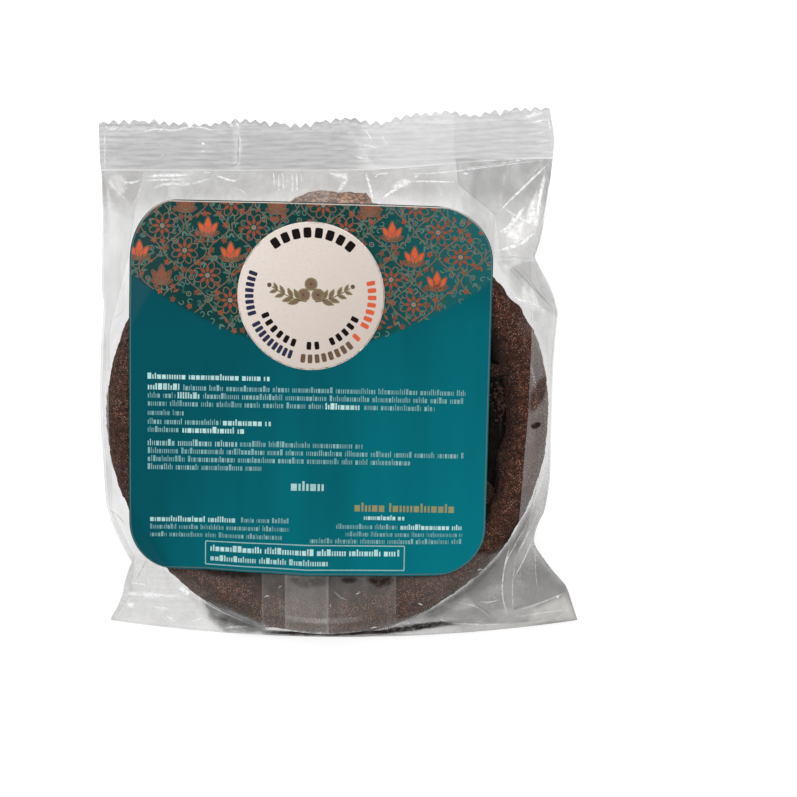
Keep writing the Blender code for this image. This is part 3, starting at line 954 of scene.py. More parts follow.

# Painted highlights along the film's creases, and painted shade along its folds and painted shadow
# under the label and at the tart's foot: width, brightness (below nothing for a dark one), and the points
# that each runs through
creases = (
    (0.9, 1.0, ((6.2, 48.4), (7.2, 44.6), (8.3, 40.2))),
    (0.6, 0.8, ((8.7, 46.0), (8.8, 46.9), (12.2, 47.7))),
    (0.9, 0.9, ((9.7, 40.9), (13.0, 43.3), (16.6, 45.3))),
    (2.4, 0.8, ((12.4, 43.4), (14.6, 45.0), (17.4, 45.5))),
    (0.7, 0.85, ((16.4, 45.5), (22.0, 45.6), (28.4, 45.4))),
    (0.5, 0.6, ((12.1, 47.6), (22.0, 47.6), (33.6, 48.9), (51.0, 51.3))),
    (0.8, 0.9, ((17.8, 46.5), (19.3, 47.2))),
    (0.8, 0.8, ((29.4, 47.6), (31.2, 47.4))),
    (0.8, 0.8, ((-2.8, 47.8), (0.0, 47.3), (2.0, 47.6))),
    (1.8, 0.75, ((-2.4, 47.4), (1.4, 46.4), (0.4, 43.8), (-0.9, 42.2))),
    (0.8, 0.85, ((37.5, 37.5), (43.6, 43.6), (50.5, 50.3))),
    (0.7, 0.9, ((39.0, 39.2), (43.2, 36.7), (47.4, 34.6))),
    (1.3, 1.0, ((47.4, 34.6), (47.9, 40.4), (49.5, 48.0))),
    (2.6, 1.0, ((45.0, 34.4), (46.2, 38.0), (46.6, 41.4))),
    (1.4, 0.9, ((38.2, 32.7), (41.2, 35.2), (44.7, 39.8))),
    (1.2, 0.8, ((41.3, 38.3), (42.0, 35.0), (43.4, 32.0))),
    (1.0, 0.8, ((38.3, 33.5), (40.6, 33.3))),
    (1.3, 1.0, ((37.6, 28.5), (44.4, 31.2), (47.2, 33.6))),
    (0.7, 0.6, ((48.0, 33.0), (50.0, 41.0), (50.4, 47.0))),
    (0.5, 0.5, ((42.0, 17.6), (46.1, 16.2), (51.2, 13.2))),
    (0.7, 0.8, ((41.5, 18.2), (43.0, 17.0), (45.0, 16.6))),
    (0.5, 0.45, ((-56.5, 46.5), (-52.6, 42.6), (-49.8, 39.4))),
    (0.5, 0.45, ((-49.8, 39.4), (-48.4, 42.0), (-47.7, 45.2))),
    (0.8, 0.8, ((-52.9, 45.5), (-48.5, 45.8), (-47.3, 46.7))),
    (1.1, 1.0, ((-47.3, 46.9), (-41.0, 47.2), (-35.2, 47.3))),
    (0.8, 0.8, ((-47.0, 45.9), (-41.0, 46.1), (-35.8, 46.0))),
    (1.1, 0.6, ((-46.2, 43.1), (-43.1, 44.6), (-36.2, 45.0), (-30.0, 46.6))),
    (0.8, 0.85, ((-30.1, 47.4), (-26.6, 46.0), (-24.2, 45.7))),
    (0.6, 0.7, ((-33.0, 47.8), (-30.8, 48.0))),
    (0.5, 0.5, ((-25.5, 43.9), (-23.4, 43.3), (-21.6, 41.9))),
    (0.4, 0.4, ((-49.9, -45.2), (-46.6, -48.4), (-45.3, -53.4))),
    (1.3, 1.0, ((-53.0, -53.4), (-45.0, -53.7), (-37.0, -53.9))),
    (0.9, 0.7, ((-50.6, -50.9), (-46.1, -51.2))),
    (1.9, 1.0, ((-38.8, -51.6), (-37.2, -52.4), (-35.8, -53.8))),
    (2.2, 1.0, ((-51.6, -56.1), (-50.4, -56.3), (-49.2, -56.6))),
    (0.9, 0.8, ((-46.0, -56.6), (-40.4, -57.2))),
    (0.7, 0.9, ((-36.2, -60.2), (-34.2, -59.7), (-32.7, -58.8))),
    (1.0, 0.8, ((-42.6, -59.2), (-40.6, -59.5), (-38.4, -59.8))),
    (0.7, 0.8, ((-28.1, -62.0), (-24.6, -61.4), (-20.8, -61.5))),
    (0.43, 0.75, ((41.1, -41.0), (39.6, -46.4), (39.2, -54.0), (40.7, -59.6))),
    (0.31, 0.6, ((42.3, -44.0), (41.5, -52.0), (41.8, -59.0))),
    (0.37, 0.6, ((41.5, -50.2), (45.3, -42.9), (46.7, -39.5))),
    (0.31, 0.4, ((46.9, -41.4), (47.1, -47.1), (47.6, -53.2))),
    (0.37, 0.8, ((33.1, -55.2), (36.0, -55.4), (38.3, -54.8))),
    (0.43, 0.6, ((22.3, -58.2), (24.7, -59.8), (32.0, -60.9), (42.3, -60.9))),
    (0.37, 0.5, ((26.9, -54.8), (33.8, -57.1), (36.9, -59.8))),
    (0.74, 0.7, ((52.2, -54.1), (53.0, -54.6))),
    (0.56, 0.5, ((42.3, -57.8), (48.0, -55.9), (54.9, -53.2))),
    (0.56, 0.5, ((41.5, -59.3), (48.0, -58.4), (55.6, -57.2))),
    (0.37, 0.5, ((45.4, -37.5), (44.6, -40.2), (42.6, -43.4))),
    (0.5, -0.3, ((39.8, 26.5), (46.1, 20.2), (52.0, 14.2))),
    (0.4, -0.2, ((44.0, 24.5), (47.6, 19.0), (51.6, 14.6))),
    (0.4, -0.2, ((37.0, 27.2), (42.0, 27.3), (46.6, 27.0))),
    (0.4, -0.15, ((45.4, 27.0), (45.9, 21.0))),
    (0.5, -0.3, ((-55.5, -33.0), (-53.0, -34.6), (-50.9, -37.0))),
    (0.4, -0.2, ((-54.0, 12.8), (-52.6, 13.5), (-51.2, 14.9))),
    (0.4, -0.12, ((-56.4, 12.0), (-56.0, 4.0), (-56.0, -2.0))),
    (0.5, -0.35, ((-24.1, 58.0), (-24.5, 53.8), (-24.9, 50.0), (-27.4, 49.1))),
    (0.6, -0.3, ((31.6, -54.6), (33.0, -56.0), (34.6, -57.4))),
    (0.6, -0.25, ((41.0, -57.6), (44.0, -56.4), (46.0, -56.0))),
    (0.5, -0.2, ((-49.2, -50.4), (-47.0, -46.6), (-45.8, -43.6))),
    (0.35, 0.6, ((-36.4, -52.1), (-31.8, -55.5), (-27.2, -58.1), (-22.5, -60.1), (-18.4, -61.8))),
    (1.7, -0.3, ((41.5, -40.6), (37.4, -45.7), (32.0, -51.0), (25.9, -55.4), (19.2, -58.9), (14.8, -60.7))),
    (2.8, -0.22, ((29.7, -54.3), (24.9, -57.4), (19.7, -60.0))),
    (0.35, 0.45, ((-55.2, 6.0), (-55.3, -8.0), (-55.1, -21.5))),
    (0.35, 0.35, ((46.2, 17.0), (46.2, 12.5), (46.0, 8.0))),
    (0.7, 0.8, ((-49.2, 59.0), (-47.3, 58.1), (-44.6, 58.4), (-39.3, 58.2), (-37.0, 58.8), (-33.1, 58.8),
        (-30.8, 58.3), (-28.5, 59.2))),
    (0.8, 0.8, ((-56.8, 59.3), (-55.0, 58.3), (-53.1, 59.0))),
    (0.5, 0.5, ((-56.6, 58.5), (-56.6, 52.0), (-56.5, 47.5))),
    (0.7, 0.8, ((-43.1, 54.5), (-42.3, 54.5))),
    (0.6, 0.6, ((-43.0, 52.1), (-42.4, 52.1))),
    (0.8, 0.9, ((-33.5, 54.9), (-32.4, 54.9))),
    (0.8, 0.9, ((-33.5, 53.0), (-32.5, 53.0))),
    (1.0, 0.9, ((-26.3, 60.0), (-25.9, 58.6))),
    (0.8, 0.8, ((-25.0, 60.2), (-24.0, 58.4))),
    (0.5, 0.6, ((-24.2, 57.6), (-24.0, 54.6), (-24.3, 52.0))),
    (0.6, 0.6, ((2.5, 59.8), (4.5, 59.3))),
    (0.6, 0.7, ((6.0, 58.2), (7.0, 57.0), (8.0, 55.2))),
    (0.6, 0.7, ((5.2, 54.6), (9.4, 53.9))),
    (0.6, 0.7, ((3.6, 51.8), (6.3, 51.2))),
    (0.5, 0.6, ((9.8, 57.0), (10.9, 55.6), (11.5, 54.0))),
    (1.6, 0.7, ((44.3, 60.8), (47.5, 62.2), (49.6, 62.4))),
    (0.8, 0.7, ((46.0, 60.0), (50.2, 60.8))),
    (0.4, 0.5, ((45.0, 57.0), (50.8, 58.0))),
    (0.4, 0.45, ((47.5, 55.2), (51.0, 55.8))),
    (0.4, 0.35, ((36.0, 55.4), (43.0, 56.0))),
    (0.5, 0.6, ((50.3, 61.6), (51.0, 56.5))),
    (2.6, -0.85, ((-33.6, -47.4), (-27.0, -47.9), (-19.6, -48.7))),
    (4.2, -0.62, ((-12.9, -49.3), (-7.4, -50.3), (-1.8, -49.6))),
    (2.2, -0.7, ((0.2, -49.6), (2.4, -49.8), (4.6, -49.6))),
    (3.2, -0.9, ((6.4, -49.5), (9.8, -50.1), (13.4, -49.5))),
    (1.0, -0.95, ((-20.0, -62.9), (-8.0, -63.3), (1.0, -63.4), (8.0, -63.1))),
    (1.9, -0.95, ((-6.0, -62.8), (4.0, -62.7), (8.0, -62.6), (14.0, -62.0), (20.0, -61.3),
        (26.0, -60.7), (30.0, -60.6))),
    (3.4, -0.55, ((-31.0, -58.6), (-25.5, -60.2), (-18.6, -62.0))),
    # a dark crumb seen through the film, not shade
    (1.3, -1.2, ((45.6, -12.7), (46.6, -13.1), (47.3, -12.7), (48.4, -12.8))),
    (0.5, 0.4, ((49.4, -22.2), (47.7, -28.4), (45.5, -32.2), (43.0, -36.1))),
    (0.4, 0.35, ((48.2, -31.5), (46.5, -36.1), (44.0, -41.5), (41.7, -46.4))),
    (0.35, 0.3, ((47.1, -28.4), (45.6, -36.1), (45.3, -39.9))),
    (0.45, 0.5, ((44.8, -36.8), (42.1, -41.5), (40.0, -45.7), (39.8, -49.1))),
    (0.6, -0.3, ((47.6, -24.0), (46.4, -31.0), (44.2, -36.8), (41.6, -41.6))),
    (0.5, -0.25, ((45.9, -33.0), (44.6, -38.6), (41.2, -44.6))),
    (0.4, -0.2, ((48.4, -20.0), (48.6, -12.0), (48.8, -2.0), (48.6, 6.0))),
    (0.5, 0.5, ((27.8, 48.6), (36.0, 49.6), (44.0, 51.0), (51.0, 52.4))),
    (0.45, 0.4, ((1.0, 49.3), (12.0, 49.0), (24.0, 48.9))),
    (0.5, 0.7, ((3.9, -53.0), (4.7, -52.9), (4.9, -52.3))),
    (0.45, 0.5, ((-17.9, -53.9), (-17.1, -53.5), (-16.4, -53.7))),
    (0.45, 0.7, ((18.7, -55.3), (19.4, -55.5), (20.1, -55.9))),
    (0.55, 0.7, ((7.4, -61.6), (8.3, -61.2), (9.2, -61.3))),
    (0.45, 0.6, ((33.0, -47.6), (33.7, -47.2), (34.3, -47.4))),
    (0.4, 0.5, ((-2.1, -55.4), (-2.0, -56.3))),
    (0.4, 0.3, ((-14.6, -51.8), (-13.6, -51.0))),
    (0.35, 0.25, ((-1.6, -52.0), (0.6, -54.0), (2.4, -54.6))),
    (0.25, 0.13, ((38.4, -34.4), (40.6, -32.4), (42.2, -30.4))),
)


def finPuckers():
    # the back seam is gathered where it enters the end seal, and each pucker is drawn as a painted highlight
    lines = []
    for number in range(7):
        x = -16.0 + 1.1 * number
        length = 4.6 + 2.4 * ((number * 5) % 7) / 7.0
        width = 0.4 + 0.12 * ((number * 2) % 3)
        marks = ((x, 48.3), (x + 0.3, 46.0), (x + 0.5, 48.3 - length))
        lines.append((width, 0.9 - 0.14 * ((number * 3) % 5), marks))
    return lines


creaseShape = {
    "step": 0.4,
    "uneven": 0.35,  # how much their width varies
    "lift": 0.07,  # above the film
    "highest": 0.35,
    "full": -0.9,  # lines darker than this are dark right up to their edges
    "climb": 2.5,  # and stay at the foot of a wall, up to this height
    "fade": 5.0,  # each line fades over a fifth of its length at either end
}


def skinHeight(x, y):
    # top of the film, on the end seal as well
    onSeal = y > sealLine(across(x, y)) - 0.2
    return np.where(onSeal, sealRelief(x, y)[0] + seal["halfThickness"], frontHeight(x, y))


def buildCreases(name, lines, material, points, push):
    # each line has so many points across it; push moves it out of the film's steep walls
    sides = np.linspace(-1.0, 1.0, points)
    ribbons = Sheets()
    for width, glow, marks in lines:
        isFull = glow < creaseShape["full"]
        line = curveThrough(marks, creaseShape["step"])
        way = np.linspace(0.0, 1.0, len(line))
        flicker = 1.0 + creaseShape["uneven"] * noiseAt(line[:, 0], line[:, 1], 1.6, 6.6)
        half = 0.5 * width * np.sqrt(np.clip(4.2 * way * (1.0 - way), 0.04, 1.0)) * flicker
        spread = line[:, None, :] + sideways(line)[:, None, :] * (sides[None, :] * half[:, None])[:, :, None]
        x, y = spread[:, :, 0], spread[:, :, 1]
        raised = (1.0 - sides ** 2)[None, :] * half[:, None] * (0.5 if glow > 0.0 else 0.02)
        z = np.maximum(skinHeight(x, y), skinHeight(x, y + push))
        z = z + creaseShape["lift"] + np.minimum(raised, creaseShape["highest"])
        if isFull:
            z = np.minimum(z, z.min(axis=1, keepdims=True) + creaseShape["climb"])
        fade = np.prod([np.clip(creaseShape["fade"] * side, 0.0, 1.0) for side in (way, 1.0 - way)], axis=0)
        body = 1.0 - np.abs(sides)[None, :] ** (7.0 if isFull else 1.5)
        light = 1.0 if glow > 0.0 else 0.05 * (glow > -0.6)
        ribbons.add(np.stack([x, y, z], axis=-1), glow=abs(glow) * fade[:, None] * body, light=light)
    ribbons.make(name, material, "clear_film")


def creaseMaterial(name, specular):
    bench = Bench(name)
    flicker = bench.grain(bench.place(), 1.1, 3.0).band(0.3, 0.62, 0.45, 1.0)
    # painted highlight colour, and a dark brown for painted shade
    bright = bench.mix(colour(226, 226, 226), colour(255, 255, 255), flicker)
    tint = bench.mix(colour(40, 31, 27), bright, bench.attribute("light"))
    alpha = bench.attribute("glow") * flicker
    return bench.finish(colour=tint, alpha=alpha, roughness=0.3, specular=specular)


# the light lines become painted highlights, the dark ones painted shade and shadow
filmLines = (*creases, *finPuckers())
highlightLines = [line for line in filmLines if line[1] > 0.0]
darkLines = [line for line in filmLines if line[1] < 0.0]
buildCreases("film_crease_highlights", highlightLines, creaseMaterial("creased film", 0.3), 5, 0.0)
buildCreases("film_shadows", darkLines, creaseMaterial("shaded film", 0.0), 15, 0.12)

# The tart
crust = {
    "turns": 620,
    "waist": 42.1,  # where the rim falls to the filling
    "waistWidth": 2.4,
    "waistFoot": 8.0,
    "outerStart": 46.0,  # where the outer edge's uneven stretch begins
    "outerLength": 5.0,
    "wallRoom": 0.15,  # room between the crust and the film's steep walls
    "rowMarks": (0, 5, 14, 98, 110, 118),  # rows reached at the inner floor, the wall and the base's edge
    "scallops": ((0.5, 9, 0.6), (0.5, 14, 2.0), (0.4, 23, 4.0)),  # depth, number round the rim and start
    "lumps": ((0.5, 0.035, 1.0), (0.62, 0.03, 0.5)),  # turn, width and height of lumps on the outer edge
    "lumpSize": 0.7,
    "grains": ((5.5, 4.0, 0.32), (1.9, 11.0, 0.24), (0.75, 21.0, 0.2)),  # size, seed and depth of its crumb
    "pits": (1.3, 31.0, 1.2),
    "filmGap": 0.2,
}
rimMarks = (  # radius and height, from the middle over the rim to the middle of the base
    (0.0, 8.2), (30.0, 8.2), (39.8, 8.6), (41.6, 10.2), (42.9, 12.8), (45.2, 14.4), (48.0, 15.0),
    (50.4, 14.1), (52.1, 12.0), (52.8, 9.2), (52.4, 6.0), (51.4, 3.0), (50.0, 1.3), (48.2, 0.75),
    (40.0, 0.75), (0.0, 0.75),
)
rimShifts = (  # turn in degrees, how far the inner and the outer edge stand out there
    (-180.0, 0.0, 0.2), (-140.0, -0.8, 0.6), (-128.0, -1.0, 1.5), (-118.0, -1.4, 1.0),
    (-107.0, -1.8, 1.1), (-98.0, -2.1, 0.5), (-90.0, -2.2, 0.2), (-74.0, -1.9, 1.1), (-67.0, -1.8, 0.9),
    (-60.0, -1.5, 0.3), (-45.0, 0.4, 0.3), (-33.0, 1.7, 0.2), (-18.0, 0.9, 0.0), (0.0, 0.2, 0.0),
    (14.0, 0.0, 0.2), (22.0, -0.4, 0.0), (28.5, -0.6, -1.2), (38.0, -0.6, -1.8), (60.0, 0.0, -1.5),
    (78.2, 0.0, -1.8), (80.0, 0.0, 0.4), (82.0, 0.0, 0.0), (84.5, 0.0, 0.2), (87.0, 0.0, -0.1),
    (90.0, 0.0, 0.3), (93.5, 0.0, 0.1), (96.0, 0.0, -0.3), (98.5, 0.0, -0.8), (101.0, 0.0, -1.8),
    (122.0, 0.0, -1.4), (135.0, 0.0, -0.2), (180.0, 0.0, 0.2),
)


def crustProfile():
    # the crust's section, from the middle over the rim to the middle of the base
    line = curveThrough(rimMarks, 0.1)
    reach = reachAlong(line)
    inner = [reach[np.argmax(line[:, 0] >= radius)] for radius in (rimMarks[1][0], rimMarks[2][0])]
    outer = [reach[-1] - radius for radius in (rimMarks[-3][0], rimMarks[-2][0])]
    rows = crust["rowMarks"]
    places = np.interp(np.arange(rows[-1] + 1), rows, (0.0, *inner, *outer, reach[-1]))
    return pointsAt(places, reach, line)


def aroundTart(radius, turn):
    return tart["x"] + radius * np.cos(turn), tart["y"] + radius * np.sin(turn)


def roughen(points, normals):
    # sandy crumb with a few coarser lumps and pits
    relief = sum(noiseOn(points, size, seed) * depth for size, seed, depth in crust["grains"])
    size, seed, depth = crust["pits"]
    relief = relief - np.clip(noiseOn(points, size, seed) - 0.3, 0.0, 1.0) * depth
    return points + normals * relief[:, None]


def gridNormals(grid):
    aroundStep = np.roll(grid, -1, axis=1) - np.roll(grid, 1, axis=1)
    downStep = np.gradient(grid, axis=0)
    normals = np.cross(downStep, aroundStep)
    return normals / np.maximum(np.linalg.norm(normals, axis=-1, keepdims=True), 1e-9)


def unevenRadius(radius, height, turn):
    # scallops along the inner edge, and lumps and flat stretches along the outer one
    degrees = np.degrees((turn + math.pi) % tau - math.pi)
    turns, *shifts = zip(*rimShifts)
    innerShift, outerShift = [np.interp(degrees, turns, shift) for shift in shifts]
    scallop = sum(depth * np.sin(turn * number + start) for depth, number, start in crust["scallops"])
    inner = np.exp(-((radius - crust["waist"]) / crust["waistWidth"]) ** 2) * (height > crust["waistFoot"])
    lump = sum(size * np.exp(-((turn - place) / width) ** 2) for place, width, size in crust["lumps"])
    outer = smooth((radius - crust["outerStart"]) / crust["outerLength"]) * smooth((height - 0.5) / 2.0)
    return radius + (scallop + innerShift) * inner + (outerShift + crust["lumpSize"] * lump) * outer


def filmCeiling(x, y):
    # the crust stays under the film, also a little further out, where the film's walls are steep
    outX, outY = x - tart["x"], y - tart["y"]
    further = 1.0 + crust["wallRoom"] / np.maximum(np.hypot(outX, outY), 1.0)
    ceiling = upperFilm(tart["x"] + outX * further, tart["y"] + outY * further)
    return np.minimum(ceiling, upperFilm(x, y)) - crust["filmGap"]


def buildCrust(material):
    profile = crustProfile()
    turn = np.linspace(0.0, tau, crust["turns"], endpoint=False)[None, :]
    radius = np.repeat(profile[:, :1], crust["turns"], axis=1)
    height = np.repeat(profile[:, 1:], crust["turns"], axis=1)
    x, y = aroundTart(unevenRadius(radius, height, turn), turn)
    low = np.clip((4.0 - height) / 4.0, 0.0, 1.0)
    z = height + low * (restHeight(y) - pack["flapThickness"]) * 0.9
    grid = np.stack([x, y, z], axis=-1)
    points = roughen(grid.reshape(-1, 3), gridNormals(grid).reshape(-1, 3))
    points[:, 2] = np.maximum(points[:, 2], restHeight(points[:, 1]) + 0.1)
    points[:, 2] = np.minimum(points[:, 2], filmCeiling(points[:, 0], points[:, 1]))
    makePiece("tart_crust", points, gridFaces(*x.shape, wrap=True), material)


def crustMaterial():
    bench = Bench("cocoa crust")
    place = bench.place()
    broad = bench.grain(place, 8.0, 4.0)
    crumb = bench.grain(place, 1.0, 4.0, 0.65)
    sand = bench.cells(place, 0.38)
    patchy = bench.grain(place, 1.7, 2.0)
    fleck = bench.grain(place, 0.5, 2.0)
    far = bench.axis(place, "Y").band(0.030, 0.038)
    fromMiddleX = bench.axis(place, "X") - tart["x"] * mm
    fromMiddleY = bench.axis(place, "Y") - (tart["y"] + shiftY) * mm
    reach = fromMiddleX * fromMiddleX + fromMiddleY * fromMiddleY
    outward = reach.band((43.0 * mm) ** 2, (48.0 * mm) ** 2, 0.4, 1.0)
    base = bench.mix(colour(33, 17, 12), colour(92, 55, 40), crumb.band(0.34, 0.66))
    base = bench.mix(base, colour(184, 142, 122), sand.band(0.44, 0.14) * patchy.band(0.32, 0.58) * 0.85)
    base = bench.mix(base, colour(14, 7, 5), fleck.band(0.54, 0.66) * 0.8)
    base = bench.mix(base, colour(48, 27, 19), broad.band(0.45, 0.68) * 0.5)
    base = bench.mix(base, colour(112, 66, 42), far * 0.65)
    base = bench.mix(base, colour(206, 160, 126), crumb.band(0.45, 0.6) * far * 0.9)
    # painted shade: the crust is darker inside the rim, towards the filling
    base = bench.mix(colour(18, 10, 8), base, outward)
    normal = bench.bump(crumb * 0.6 + sand * 0.8, 1.0, 0.35)
    rough = crumb.band(0.3, 0.7, 0.75, 0.95)
    return bench.finish(colour=base, roughness=rough, normal=normal, specular=0.15)


jam = {
    "height": 11.6,
    "radius": 45.2,
    "floor": 8.9,
    "turns": 300,
    "innerRadius": 30.0,  # its rings stand further apart inside this
    "innerRings": 44,
    "outerRings": 34,
    "lumps": 0.5,
    "ripples": 0.28,
    "edgeDrop": 1.4,
    "dropStart": 41.0,
    "dropLength": 3.4,
}


def jamTop(x, y):
    swell = jam["lumps"] * noiseAt(x, y, 4.5, 3.0) + jam["ripples"] * noiseAt(x, y, 1.7, 8.0)
    drop = smooth((fromTart(x, y) - jam["dropStart"]) / jam["dropLength"])
    return jam["height"] + swell - jam["edgeDrop"] * drop


def buildJam(material):
    inner = np.linspace(0.0, jam["innerRadius"], jam["innerRings"], endpoint=False)
    radii = np.concatenate([inner, np.linspace(jam["innerRadius"], jam["radius"], jam["outerRings"])])
    radius, turn = np.meshgrid(radii, np.linspace(0.0, tau, jam["turns"], endpoint=False), indexing="ij")
    x, y = aroundTart(radius, turn)
    top = np.stack([x, y, jamTop(x, y)], axis=-1)
    under = np.stack([x, y, np.full(x.shape, jam["floor"])], axis=-1)[::-1]
    grid = np.concatenate([top, under[::3]], axis=0)
    makePiece("tart_jam", grid, gridFaces(*grid.shape[:2], wrap=True), material)


def jamMaterial():
    bench = Bench("dark jam")
    place = bench.place()
    lumps = bench.grain(place, 3.0, 3.0)
    fine = bench.grain(place, 0.8, 3.0)
    base = bench.mix(colour(7, 3, 3), colour(26, 13, 10), lumps.band(0.45, 0.75))
    rough = fine.band(0.3, 0.7, 0.3, 0.5)
    normal = bench.bump(lumps * 0.7 + fine * 0.3, 0.5, 0.4)
    return bench.finish(colour=base, roughness=rough, normal=normal, specular=0.05)


dough = {
    "height": 11.3,
    "halfThickness": 1.4,
    "highest": 14.4,
    "around": 34,
    "squareness": 0.7,  # its section is round at 1
    "uneven": 0.12,
}
doughStrips = (  # ends of each strip, its width and how far it is raised over the ones that it crosses
    ((-18.0, 36.0), (-15.2, -51.0), 8.8, 0.0),
    ((8.5, 38.0), (5.6, -51.4), 4.6, 0.0),
    ((28.0, 26.0), (24.0, -42.0), 8.2, 0.0),
    ((-43.0, 3.6), (40.4, 0.2), 4.4, 0.8),
    ((-34.0, 25.0), (32.0, 23.0), 8.2, 0.8),
    ((-38.0, -26.0), (37.0, -29.0), 8.2, 0.8),
)


def buildDough(material):
    strips = Sheets()
    around = np.linspace(0.0, tau, dough["around"], endpoint=False)
    section = [np.sign(way) * np.abs(way) ** dough["squareness"] for way in (np.cos(around), np.sin(around))]
    for start, end, width, lift in doughStrips:
        line = curveThrough((start, end), 0.5)
        way = np.linspace(-1.0, 1.0, len(line))
        tangent = np.subtract(end, start) / math.dist(start, end)
        normal = np.array((-tangent[1], tangent[0]))
        half = 0.5 * width * (1.0 + dough["uneven"] * noiseAt(line[:, 0], line[:, 1], 7.0, 5.0 + lift))
        taper = np.sqrt(np.clip(1.0 - np.abs(way * 0.998) ** 12, 0.02, 1.0))
        flat = line[:, None, :] + (half * taper)[:, None, None] * section[0][None, :, None] * normal
        height = dough["height"] + lift + dough["halfThickness"] * section[1][None, :] * taper[:, None]
        grid = np.concatenate([flat, height[:, :, None]], axis=-1)
        lumpy = roughen(grid.reshape(-1, 3), -gridNormals(grid).reshape(-1, 3)).reshape(grid.shape)
        lumpy[..., 2] = np.minimum(lumpy[..., 2], dough["highest"])
        first = strips.count
        strips.add(lumpy, wrap=True)
        strips.faces.append(list(range(first, first + dough["around"]))[::-1])
        strips.faces.append(list(range(strips.count - dough["around"], strips.count)))
    strips.make("dough_strips", material, "cocoa_crust")


crumbs = {
    "count": 70,
    "smallest": 0.16,
    "largest": 0.42,
    "nutX": 39.4,  # chopped nuts lie together here
    "nutY": -6.2,
    "nutSpread": 3.4,
    "nuts": 190,
    "seed": 12,
    "lumps": ((38.6, 1.2, 1.5, 0.35), (39.5, -0.6, 1.1, 0.3)),  # warm brown ones beyond the nuts
    "reach": 40.5,  # crumbs lie no further from the tart's middle
    "highest": 14.5,
}


def crumbPlaces(dice):
    # places, sizes and how much of a nut each is
    places = list(crumbs["lumps"])
    for number in range(crumbs["nuts"]):
        x = crumbs["nutX"] + dice.normal() * crumbs["nutSpread"] * 0.5
        y = crumbs["nutY"] + dice.normal() * crumbs["nutSpread"]
        places.append((x, y, dice.uniform(crumbs["smallest"], crumbs["largest"]), dice.uniform(0.3, 1.0)))
    for number in range(crumbs["count"]):
        turn = dice.uniform(0.0, tau)
        reach = crumbs["reach"] * math.sqrt(dice.uniform(0.1, 1.0))
        x, y = tart["x"] + reach * math.cos(turn), tart["y"] + reach * math.sin(turn)
        places.append((x, y, dice.uniform(crumbs["smallest"], crumbs["largest"]) * 1.6, 0.0))
    return places


def buildCrumbs(material):
    dice = np.random.default_rng(crumbs["seed"])
    points, faces, nuts = [], [], []
    count = 0
    for number, (x, y, size, nut) in enumerate(crumbPlaces(dice)):
        ball = bmesh.new()
        bmesh.ops.create_icosphere(ball, subdivisions=2, radius=size)
        stretched = dice.uniform(0.6, 1.3, 3)
        seat = float(jamTop(np.array([x]), np.array([y]))[0]) + 0.25 * size
        for vertex in ball.verts:
            bulge = 1.0 + 0.35 * noise.noise(vertex.co * 1.1 + vertex.co.normalized() * number)
            points.append([c * s * bulge + m for c, s, m in zip(vertex.co, stretched, (x, y, seat))])
        faces += [[count + vertex.index for vertex in face.verts] for face in ball.faces]
        nuts += [nut] * len(ball.verts)
        count += len(ball.verts)
        ball.free()
    points = np.array(points)
    points[:, 2] = np.minimum(points[:, 2], crumbs["highest"])
    makePiece("nuts_and_crumbs", points, faces, material, (), {"nut": nuts})


def crumbMaterial():
    bench = Bench("nuts and crumbs")
    place = bench.place()
    crumb = bench.grain(place, 0.8, 4.0, 0.65)
    fleck = bench.grain(place, 0.4, 2.0)
    baked = bench.mix(colour(44, 28, 21), colour(96, 66, 50), crumb.band(0.3, 0.7))
    nut = bench.mix(colour(26, 15, 11), colour(70, 46, 35), crumb.band(0.3, 0.7))
    base = bench.mix(baked, nut, bench.attribute("nut"))
    base = bench.mix(base, colour(20, 12, 9), fleck.band(0.55, 0.7) * 0.7)
    return bench.finish(colour=base, roughness=0.75, normal=bench.bump(crumb, 0.7, 0.2), specular=0.15)


print("tart stage")
cocoaCrust = crustMaterial()
buildCrust(cocoaCrust)
buildJam(jamMaterial())
buildDough(cocoaCrust)
buildCrumbs(crumbMaterial())


# The label. Its print is laid out in u to the right and v up, from the label's middle
def labelHeight(x, y):
    heights = upperFilm(x, y)
    for turn in np.linspace(0.0, tau, 8, endpoint=False):
        stepX, stepY = label["reach"] * math.cos(turn), label["reach"] * math.sin(turn)
        heights = np.maximum(heights, upperFilm(x + stepX, y + stepY))
    return heights + label["gap"]


pattern = {
    "pitch": 5.5,  # between neighbouring wavy stems
    "swing": 2.45,
    "rise": 11.6,  # length of one wave
    "lineWidth": 0.26,
    "bottom": 8.6,  # lowest point of the patterned field
    "climb": 17.4,  # how much higher the field ends at the label's sides
    "filling": 1.75,  # between the small leaves, rings and blossoms that fill it
    "stray": 0.6,
    "clearing": 2.9,  # round the middle of each large motif
    "seed": 5,
}


def fieldLow(u):
    return pattern["bottom"] + pattern["climb"] * (np.abs(u) / 43.0) ** 1.7


def buildLabel(material):
    halfLength = label["length"] / 2.0
    middle = halfLength - label["cornerLength"]
    quarter = np.radians(np.linspace(0.0, 90.0, label["cornerRows"] + 1))[1:]
    ends = middle + label["cornerLength"] * np.sin(quarter)
    rows = np.concatenate([-ends[::-1], np.linspace(-middle, middle, label["middleRows"]), ends])
    left, right = labelSides(rows)
    share = np.linspace(-1.0, 1.0, label["columns"] + 1)
    share = 0.5 + 0.5 * np.sign(share) * (1.0 - (1.0 - np.abs(share)) ** 1.15)
    u = blend(left[:, None], right[:, None], share[None, :])
    v = np.repeat(rows[:, None], share.size, axis=1)
    x, y = labelToPack(u, v)
    z = labelHeight(x, y)
    makeThin("label_sheet", x, y, z, z + label["thickness"], material, "printed_label", ("label",),
             ground=smooth((v - fieldLow(u)) / 1.2 + 0.5))


